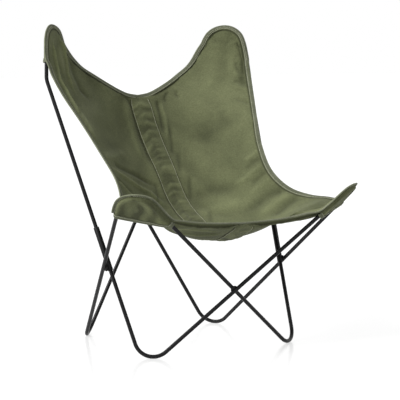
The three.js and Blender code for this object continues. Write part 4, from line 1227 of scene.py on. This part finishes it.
def pucker_lift(half, grid, seed):
    """Small creases that run squarely off the sewn edges, and a slow wave of the whole cloth.
    Lengths are in metres, heights in millimetres until the end."""
    down, from_side, from_inner = edge_runs(grid)
    rows, columns = grid.shape[:2]
    share = np.arange(rows)[:, None] / FINE_ROWS
    on_seam = (share >= half.first_centre) & (share <= half.last_centre)
    side_run = down[:, :1] + SIDE_SLANT * from_side
    inner_run = down[:, -1:] - INNER_SLANT * from_inner
    sides = noise_of(side_run / 0.017, from_side / 0.09, seed) * np.exp(-from_side / 0.026) * 2.0
    inner = noise_of(inner_run / 0.014, from_inner / 0.08, seed + 7) * np.exp(-from_inner / 0.03)
    inner = inner * np.where(on_seam, 2.2, 2.6)
    slow = noise_of(down / 0.11, from_side / 0.085, seed + 3) * 3.0
    middle = noise_of(down / 0.045, from_side / 0.05, seed + 5) * 0.9
    return (sides + inner + slow + middle) * MM


def bump_at(run, place, width):
    """A smooth bump that is 1 at a place and dies away over its width."""
    return np.exp(-((run - place) / width) ** 2)


# %% [markdown]
# ## Folds and puckers in place
# The cloth moves out along its own facing. It stays flat where it is sewn, dips at the stitches
# and is calm near the apex of each tip. Light and shade are painted into it as well: ridges and
# crests get a painted highlight, and creases and the cloth beside a seam or the band get painted
# shade.

# %% Folds and puckers in place
PUCKER_SEED = {"left": 1.7, "right": 4.3}
FLAT_EDGE, EDGE_RUN = 3 * MM, 12 * MM
STITCH_PLACE, STITCH_WIDTH, STITCH_DIP = 7 * MM, 2.4 * MM, 1.2 * MM
APEX_CALM, APEX_RUN = 0.15, 30 * MM
# Painted light and shade: the lift of a fold, and of a crest, that gets the full painted highlight
# or shade, and the width of the painted shadow beside the band
PAINTED_SHADE_LIFT, PAINTED_HIGHLIGHT_CREST, BAND_SHADOW = 4.2 * MM, 1.8 * MM, 3 * MM
# The range of painted shade on folds, the painted shade at the stitches, and the painted shadow
# beside the band, darker on the left half
LIFT_SHADES, STITCH_SHADE, BAND_SHADE = (-1.3, 1.5), 2.2, {"left": 0.9, "right": 0.4}
shades = {}
for side, half in HALVES.items():
    grid = panels[side]
    out = grid_normals(grid, half.sign)
    down, from_side, from_inner = edge_runs(grid)
    lift = fold_lift(grid, FOLDS[side]) + pucker_lift(half, grid, PUCKER_SEED[side])
    edge = smooth_share((np.minimum(from_side - UNDER_HEM, from_inner) - FLAT_EDGE) / EDGE_RUN)
    hemmed = np.array([row.kind != "centre" for row in half.rows]).astype(float)
    hemmed = np.interp(np.arange(len(grid)) / FINE_ROWS, np.arange(len(hemmed)), hemmed)[:, None]
    dip = (bump_at(from_side, UNDER_HEM + STITCH_PLACE, STITCH_WIDTH)
           + bump_at(from_inner, UNDER_HEM + STITCH_PLACE, STITCH_WIDTH) * hemmed)
    from_slit = np.minimum(down, down[-1:] - down)
    lift = lift * (APEX_CALM + (1 - APEX_CALM) * smooth_share(from_slit / APEX_RUN))
    for row in (0, -1):
        out[row] = unit(out[row] + out[row][::-1])
        lift[row] = (lift[row] + lift[row][::-1]) / 2
    crest, slack = fold_lift(grid, CRESTS[side]), fold_lift(grid, [SLACK])
    grid = grid + out * ((lift + crest - slack) * edge - dip * STITCH_DIP)[:, :, None]
    for rows, tip, line in half.tips:
        grid[rows] = clear_of_rod(grid[rows], tip, line, -1)
    panels[side] = grid
    # Painted shade and highlight: fold ridges and crests painted lighter, valleys, the stitches and
    # the cloth beside the band painted darker
    beside_band = bump_at(from_inner, BAND_WIDTH / 2, BAND_SHADOW) * (1 - hemmed)
    shades[side] = (np.clip(lift * edge / PAINTED_SHADE_LIFT, *LIFT_SHADES) + np.abs(crest) / PAINTED_HIGHLIGHT_CREST
                    - STITCH_SHADE * dip - BAND_SHADE[side] * beside_band)
    print("the", side, "panel's folds reach", round(float(np.abs(lift).max()) / MM, 1), "mm")

# %% Canvas pieces
for side, half in HALVES.items():
    piece = cloth_piece("canvas_" + side, panels[side], half.sign)
    write_shade(piece.data, shades[side])
    thicken(piece, CLOTH)
    finish_piece(piece, canvas_cloth, ["sling_" + side], smooth=60)

# %% [markdown]
# ## Hems
# A hem is the cloth's edge turned in and sewn down. Its strip follows the border of the
# panel, row by row: round at the fold, with a groove where the stitches pull it in.

# %% Hem strips
# Each point of a hem's outline: depth from the fold and height, in millimetres, and its painted
# shade: lighter at the fold edge, partly wear and partly painted highlight, a painted highlight
# line at the stitches, and painted shade in the grooves
HEM_OUTLINE = (
    (14.2, 0.5, -0.6), (13.3, 1.3, 1.1), (12.1, 1.1, 0.9), (10.9, 1.7, -0.2),
    (6, 2.1, -0.5), (2.4, 2.1, 0), (0.8, 1.5, 1.3), (0, 0, 1.7))
HEM_CLEAR = 0.1 * MM
HEM_LEAN, INNER_LEAN_RUN = 6 * MM, 45 * MM
HEM_TOUCHES = np.array([1.0, 3.0, 5.0, 7.0, 8.8]) * MM
RISE_REACH = 3


def tube_quads(rings):
    """The faces of a tube; each row of the array holds the numbers of one ring's points."""
    turned = np.roll(rings, -1, axis=1)
    return np.stack([rings[:-1], turned[:-1], turned[1:], rings[1:]], -1).reshape(-1, 4)


def hem_piece(name, outer, inward, facing, outline):
    """A closed folded strip along a border, from its outer edge inwards. Its outline gives a depth,
    a height and a painted shade: the fold edge lighter, partly wear and partly painted highlight, a
    painted highlight line at the stitches and painted shade in the grooves."""
    outline = list(outline) + [(d, -h, painted_shade) for d, h, painted_shade in outline[-2::-1]]
    rings = np.stack([outer + inward * d * MM + facing * h * MM for d, h, _ in outline], 1)
    count, sides = rings.shape[:2]
    index = np.arange(count * sides).reshape(count, sides)
    ends = [index[0][::-1].tolist(), index[-1].tolist()]
    piece = new_piece(name, rings, tube_quads(index).tolist() + ends)
    around = [d if k < sides / 2 else -d for k, (d, _, _) in enumerate(outline)]
    uv = np.broadcast_arrays(np.array(around)[None] * MM, run_of(outer)[:, None])
    write_uv(piece.data, np.stack(uv, -1).reshape(-1, 2))
    write_shade(piece.data, np.broadcast_to([painted_shade for _, _, painted_shade in outline], (count, sides)))
    edit_all(piece)
    end_edit(outwards=True)
    return piece


# %% Borders
def border(half, edge, first, last):
    """The hem's outer line, its inward direction and its facing along part of a border."""
    rows = half.rows[first:last + 1]
    behind = np.array([row.tip.normal * row.wrap if row.wrap else np.zeros(3) for row in rows])
    outer = np.array([getattr(row, edge) for row in rows]) - behind * HEM_FORWARD
    inward = np.array([getattr(row, edge + "_inward") for row in rows])
    facing = half.facing[first:last + 1, 0 if edge == "side" else -1].copy()
    for i, row in enumerate(rows):
        if row.kind == "ear":
            facing[i] = -row.tip.normal
    outer = outer + facing * hem_rise(half, edge, rows, first, outer, inward, facing)
    back = behind * HEM_LEAN
    for i, row in enumerate(rows):
        if row.wrap and edge == "inner":
            back[i] *= 1 - smooth_share(row.along_inner / INNER_LEAN_RUN)
    inward = unit(inward * HEM_OUTLINE[0][0] * MM - back)
    facing = unit(facing - inward * (facing * inward).sum(1)[:, None])
    return np.stack([outer + back, settle_line(inward), settle_line(facing)], 1)


def settle_line(directions, passes=4):
    """Evens a line of directions, with its ends held."""
    directions = directions.copy()
    for _ in range(passes):
        directions[1:-1] = unit(directions[:-2] + 2 * directions[1:-1] + directions[2:])
    return directions


def hem_rise(half, edge, rows, first, outer, inward, facing):
    """How far each place of a border moves forwards so that its hem lies over the cloth."""
    grid = panels["right" if half.sign > 0 else "left"]
    _, from_side, from_inner = edge_runs(grid)
    rise = np.zeros(len(rows))
    for i, row in enumerate(rows):
        if edge == "inner" and row.kind == "centre":
            continue
        k = FINE_ROWS * (first + i)
        run, line = from_side[k], grid[k]
        if edge == "inner":
            run, line = from_inner[k, ::-1], line[::-1]
        gaps = read_line(HEM_TOUCHES, run, line) - outer[i]
        gaps -= (gaps @ inward[i])[:, None] * inward[i]
        rise[i] = max(0, (gaps @ facing[i]).max() - HEM_CLEAR)
    for blend in (np.max, np.mean, np.mean):
        wide = np.pad(rise, RISE_REACH, mode="edge")
        rise = blend([wide[k:k + len(rise)] for k in range(2 * RISE_REACH + 1)], 0)
    return rise[:, None]


def join_borders(right, left):
    """One border from the right tip over the middle of the chair to the left tip."""
    for part in (right, left):
        part[-1, 0, 0] = 0
        part[-1, 2, 0] = 0
    return np.concatenate([right, left[-2::-1]])


# %% The four hems
borders = {}
for side, half in HALVES.items():
    borders["hem_side_" + side] = border(half, "side", 0, len(half.rows) - 1)
borders["hem_back"] = join_borders(
    *(border(half, "inner", 0, half.first_centre) for half in HALVES.values()))
borders["hem_front"] = join_borders(
    *(border(half, "inner", half.last_centre, len(half.rows) - 1)[::-1]
      for half in HALVES.values()))
strips = {}
for name, line in borders.items():
    fine = finer(line, 2)
    fine = [fine[:, 0], unit(fine[:, 1]), unit(fine[:, 2])]
    borders[name] = fine
    piece = hem_piece("strip_" + name, *fine, HEM_OUTLINE)
    strips[name] = finish_piece(piece, hem_cloth, [name], smooth=60)

# %% [markdown]
# ## Pockets
# Behind each tip a second layer of cloth makes the pocket that slips over the hairpin. Its
# mouth is hemmed.

# %% Pockets
# The same for a pocket's mouth hem: depth, height and painted shade, lighter at the fold edge
# partly from wear and partly as painted highlight, a painted highlight line at the stitches,
# painted shade in the grooves
MOUTH_OUTLINE = (
    (13, 0.9, -0.8), (11.7, 1.5, 0.8), (10.6, 1.2, 0.7), (9.6, 1.6, -0.1),
    (5, 1.7, -0.3), (1.4, 1.5, 0.3), (0.3, 0.9, 1.2), (-0.2, 0, 1.4))
MOUTH_DROP, MOUTH_RISE = 9 * MM, 1.3 * MM
POCKET_SEED = {"left": 3.3, "right": 6.1}
POCKET_SLACK, POCKET_PUFF = 3 * MM, 0.2
POCKET_SEAM_RUN, POCKET_END_RUN = 22 * MM, 20 * MM
POCKET_SHADES = (-1.5, 1.3)
# Painted lines along the inner leg of a front pocket, with no fold in the cloth under them: reach
# from its seam, width, and how light (painted highlight above 0, painted shade below 0)
POCKET_PAINTED_LINES = {"left": ((10, 8, -0.9), (30, 8, 0.4)),
                  "right": ((4, 2.5, -1.5), (12, 4, 1.1), (20, 4, -1.2))}


def pocket_grid(end, rows):
    """The cloth of a pocket, settled over the back of its hairpin."""
    tip = rows[0].tip
    grid = np.array([ear_row_points(row, 1) for row in rows])
    grid = finer(finer(grid, 2), 2, axis=1)
    if end == "front":
        grid[0] += unit(grid[0] - grid[1]) * MOUTH_DROP
        grid[1] += unit(grid[0] - grid[1]) * MOUTH_DROP / 2
    return relax(grid, [(slice(None), tip, rod_line(tip))], 1, passes=400, hold=0.004, check=50,
                 slit=0 if end == "back" else -1)


def pocket_folds(half, side, end, grid):
    """The pocket with its soft folds, and its painted shade at each point: painted highlight where
    it puffs out, painted shade in its hollows, and painted lines along the inner leg of a front
    pocket.
    """
    down, across, from_inner = edge_runs(grid)
    free = smooth_share(np.minimum(across, from_inner) / POCKET_SEAM_RUN)
    slack = noise_of(across / 0.022, down / 0.11, POCKET_SEED[side]) * free
    slack *= smooth_share(np.minimum(down, down[-1:] - down) / POCKET_END_RUN)
    puff = (POCKET_SLACK * (POCKET_PUFF + slack) * free).clip(0)
    # Painted shade: puffed cloth is painted lighter and hollows darker
    painted_shade = (4.0 * slack - 0.2).clip(*POCKET_SHADES)
    for reach, width, shade in POCKET_PAINTED_LINES[side] if end == "front" else ():
        painted_shade = painted_shade + shade * bump_at(from_inner, reach * MM, width * MM)
    return grid + grid_normals(grid, -half.sign) * puff[:, :, None], painted_shade


def mouth_line(grid, end, tip):
    """The outer line, the inward direction and the facing of a pocket's mouth."""
    mouth, next_row = (grid[-1], grid[-3]) if end == "back" else (grid[0], grid[2])
    inward = unit(next_row - mouth)
    facing = unit(np.cross(np.gradient(mouth, axis=0), inward))
    facing *= np.sign(facing @ tip.normal)[:, None]
    return mouth + facing * MOUTH_RISE, inward, facing


# %% The four pockets
pockets, pocket_pieces, mouths, mouth_strips = {}, {}, {}, {}
for side, half in HALVES.items():
    ears = {"back": half.rows[:half.back_count], "front": half.rows[-half.front_count:]}
    for end, rows in ears.items():
        name = "pocket_" + end + "_" + side
        grid, painted_shade = pocket_folds(half, side, end, pocket_grid(end, rows))
        piece = cloth_piece("cloth_" + name, grid, half.sign)
        write_shade(piece.data, painted_shade)
        thicken(piece, CLOTH)
        pockets[name] = grid
        pocket_pieces[name] = finish_piece(piece, canvas_cloth, [name], smooth=60)
        mouths[name] = mouth_line(grid, end, rows[0].tip)
        strip = hem_piece("strip_mouth_" + end + "_" + side, *mouths[name], MOUTH_OUTLINE)
        mouth_strips[name] = finish_piece(strip, hem_cloth, smooth=60)

# %% [markdown]
# ## Centre band
# The seam between the two halves is covered by a band, sewn along both its edges.

# %% Centre band
BAND = 1.2 * MM
BAND_COLUMNS = 12
BAND_END_FLAT, BAND_END_RUN, BAND_PUFF = 4 * MM, 25 * MM, 2.4
# Painted shadow along the band's two edges, darker along its left edge
BAND_EDGE_SHADE = {0: 1.9, -1: 0.8}


def band_half(side, face):
    """Points on one half of the sling beside the seam, lifted off its front or back face."""
    half, grid = HALVES[side], panels[side]
    out = grid_normals(grid, half.sign) * face
    _, _, from_inner = edge_runs(grid)
    places = np.linspace(BAND_WIDTH / 2, 0, BAND_COLUMNS + 1)
    points = []
    for row in range(FINE_ROWS * half.first_centre, FINE_ROWS * half.last_centre + 1):
        points.append(np.stack([read_line(-places, -from_inner[row], line[row])
                                for line in (grid, out)], 1))
    return np.array(points)


def band_grid(face, seed):
    """The band over the seam, drawn into small cross puckers by its stitching, with painted shade
    in the puckers' hollows and along its edges and a painted highlight on their tops.
    """
    left, right = (band_half(side, face) for side in ("left", "right"))
    middle = (left[:, -1:] + right[:, -1:]) / 2
    middle[:, :, :, 0] = 0
    joined = np.concatenate([left[:, :-1], middle, right[:, -2::-1]], 1)
    place, out = joined[:, :, 0], unit(joined[:, :, 1])
    down, across, _ = edge_runs(place)
    free = np.sin(np.clip(across / BAND_WIDTH, 0, 1) * math.pi) ** 0.5
    slant = down + SIDE_SLANT * across
    ripple = noise_of(slant / 0.016, across / 0.05, seed) * (0.4 + 0.6 * free)
    fine = noise_of(slant / 0.007, across / 0.03, seed + 2) * 0.4
    from_end = np.minimum(down, down[-1:] - down)
    inside = smooth_share((from_end - BAND_END_FLAT) / BAND_END_RUN)
    drawn = (ripple + fine) * inside
    puff = BAND_PUFF * free * (0.4 + drawn).clip(0, 1.2) * inside
    lift = CLOTH / 2 + BAND / 2 + (0.1 + puff) * MM
    # Painted shade and highlight on the puckers, a little darker overall
    shade = 1.9 * drawn - 0.35
    for column, darker in BAND_EDGE_SHADE.items():
        shade[:, column] -= darker
    return place + out * lift[:, :, None], out, shade


def band_piece(name, grid, sign, shade, nodes=()):
    """One strip of the band."""
    piece = cloth_piece(name, grid, sign)
    write_shade(piece.data, shade)
    thicken(piece, BAND)
    return finish_piece(piece, canvas_cloth, nodes, smooth=60)


band, band_out, band_shade = band_grid(1, 2.2)
over_strip = band_piece("band_cloth", band, 1, band_shade, ["centre_band"])
under_band, under_out, under_shade = band_grid(-1, 8.1)
under_strip = band_piece("band_cloth_under", under_band, -1, under_shade)

# %% [markdown]
# ## Stitches
# A seam is a run of short stitches, each a small bead of thread that sits in its groove. One
# bead is shaped once, with few faces, and set along every seam line.

# %% Stitches
STITCH_LENGTH, STITCH_STEP, THREAD_RADIUS = 3.9 * MM, 4.5 * MM, 0.95 * MM
# A bead's rings: place along it as a share of its length, and thickness
BEAD = [(-0.5, 0.25), (-0.3, 0.9), (0, 1.0), (0.3, 0.9), (0.5, 0.25)]
BEAD_SIDES = 6
# Each seam's depth from the fold and height above the middle of its hem, in millimetres
HEM_SEAM, TIP_SEAM, MOUTH_SEAM = (12.1, 1.2), (8, 2.05), (10.6, 1.35)


def even_points(points, normals, step):
    """Places an even step apart along a line, each with its heading and its facing."""
    run = run_of(points)
    at = np.arange(step / 2, run[-1] - step / 2, step)
    place = read_line(at, run, points)
    ahead = read_line(at + step / 4, run, points) - place
    return place, unit(ahead), unit(read_line(at, run, normals))


def stitch_points(points, normals):
    """The corner points of every bead of one seam."""
    place, ahead, facing = even_points(points, normals, STITCH_STEP)
    aside = unit(np.cross(ahead, facing))
    beads = []
    for share, width in BEAD:
        for k in range(BEAD_SIDES):
            angle = k * 2 * math.pi / BEAD_SIDES
            spoke = aside * math.cos(angle) + facing * math.sin(angle)
            beads.append(place + ahead * share * STITCH_LENGTH + spoke * width * THREAD_RADIUS)
    return np.stack(beads, 1)


def stitch_piece(name, seams):
    """One mesh of all the stitches in the given seams."""
    beads = np.concatenate([stitch_points(points, normals) for points, normals in seams])
    rings = np.arange(len(BEAD) * BEAD_SIDES).reshape(len(BEAD), BEAD_SIDES)
    starts = rings.size * np.arange(len(beads))
    quads = (tube_quads(rings)[None] + starts[:, None, None]).reshape(-1, 4)
    ends = [(start + ring).tolist() for ring in (rings[0][::-1], rings[-1]) for start in starts]
    piece = new_piece(name, beads, quads.tolist() + ends)
    write_uv(piece.data, beads.reshape(-1, 3)[:, :2])
    edit_all(piece)
    end_edit(outwards=True)
    print(name, "has", len(beads), "stitches")
    return finish_piece(piece, thread_cloth, smooth=80)


def hem_seams(border_lines, seam, faces=(1, -1)):
    """A seam on the faces of a hem."""
    outer, inward, facing = border_lines
    depth, height = (value * MM for value in seam)
    return [(outer + inward * depth + facing * face * height, facing * face) for face in faces]


# %% The seams
hem_lines = [line for fine in borders.values() for line in hem_seams(fine, HEM_SEAM)]
reach = 2 * HALVES["right"].back_count
for fine in borders.values():
    for part in (slice(0, reach), slice(-reach, None)):
        hem_lines += hem_seams([line[part] for line in fine], TIP_SEAM)
for mouth in mouths.values():
    hem_lines += hem_seams(mouth, MOUTH_SEAM, faces=(1,))
stitch_piece("thread_hems", hem_lines)
band_lines = []
for grid, out in ((band, band_out), (under_band, under_out)):
    for column in (1, -2):
        line = grid[:, column] + out[:, column] * (BAND / 2 + 0.1 * MM)
        band_lines.append((line, out[:, column]))
stitch_piece("thread_band", band_lines)

# %% [markdown]
# ## The hems of each half
# Every sheet was cut flat and is held stretched by the four tips. For each half the hem strips
# sewn to it are gathered: its side hem, and for the right half also the back and front hems.


for side in HALVES:
    hems = [strips["hem_side_" + side]]
    hems += [strips["hem_back"], strips["hem_front"]] if side == "right" else []

# %% [markdown]
# ## Floor and light
# The chair stands on white studio paper, so the floor and the backdrop are white to the camera
# and to reflections, and the floor keeps a faint shadow and a faint soft reflection of the feet.
# One large soft lamp at the upper left models the folds, and an even white room fills the rest.

# %% Floor
FLOOR_LIFT = 0.86


def seen_directly(tree):
    """1 for what the camera sees, straight or in a reflection or through glass, otherwise 0."""
    rays = add_node(tree, "ShaderNodeLightPath").outputs
    seen = math_node(tree, "ADD", rays["Is Camera Ray"], rays["Is Glossy Ray"])
    seen = math_node(tree, "ADD", seen, rays["Is Transmission Ray"])
    return math_node(tree, "MINIMUM", seen, 1.0)


def make_floor_material():
    """White paper: plain matt white, lifted to white for the camera, with a trace of gloss."""
    material = bpy.data.materials.new("white_paper")
    material.use_nodes = True
    tree = material.node_tree
    tree.nodes.clear()
    output = add_node(tree, "ShaderNodeOutputMaterial")
    matt = add_node(tree, "ShaderNodeBsdfDiffuse", Color=(0.4, 0.4, 0.4, 1))
    lift = add_node(tree, "ShaderNodeEmission", Color=(1, 1, 1, 1))
    gloss = add_node(tree, "ShaderNodeBsdfGlossy", Color=(1, 1, 1, 1), Roughness=0.22)
    strength = math_node(tree, "MULTIPLY", seen_directly(tree), FLOOR_LIFT)
    tree.links.new(strength, lift.inputs["Strength"])
    both = add_node(tree, "ShaderNodeAddShader")
    tree.links.new(matt.outputs[0], both.inputs[0])
    tree.links.new(lift.outputs[0], both.inputs[1])
    paper = add_node(tree, "ShaderNodeMixShader", Fac=0.27)
    tree.links.new(both.outputs[0], paper.inputs[1])
    tree.links.new(gloss.outputs[0], paper.inputs[2])
    tree.links.new(paper.outputs[0], output.inputs["Surface"])
    return material


bpy.ops.object.select_all(action="DESELECT")
bpy.ops.mesh.primitive_plane_add(size=60)
floor = bpy.context.object
floor.name = "floor"
floor.data.materials.append(make_floor_material())

# %% Light
ROOM_LEVEL = 0.32
world = bpy.data.worlds.new("studio")
bpy.context.scene.world = world
world.use_nodes = True
room = world.node_tree
level = math_node(room, "MULTIPLY_ADD", seen_directly(room), 1 - ROOM_LEVEL, ROOM_LEVEL)
room.links.new(level, room.nodes["Background"].inputs["Strength"])
room.nodes["Background"].inputs["Color"].default_value = (1, 1, 1, 1)

KEY_DIRECTION, KEY_STRENGTH, KEY_SPREAD = (-0.763, 0.03, 0.643), 2.3, math.radians(24)
sun = bpy.data.lights.new("key", "SUN")
sun.energy, sun.angle = KEY_STRENGTH, KEY_SPREAD
key = bpy.data.objects.new("key", sun)
bpy.context.scene.collection.objects.link(key)
key.matrix_world = Vector(KEY_DIRECTION).to_track_quat("Z", "Y").to_matrix().to_4x4()
print("one soft key light and a white room")

# %% View transform
bpy.context.scene.view_settings.view_transform = "Standard"
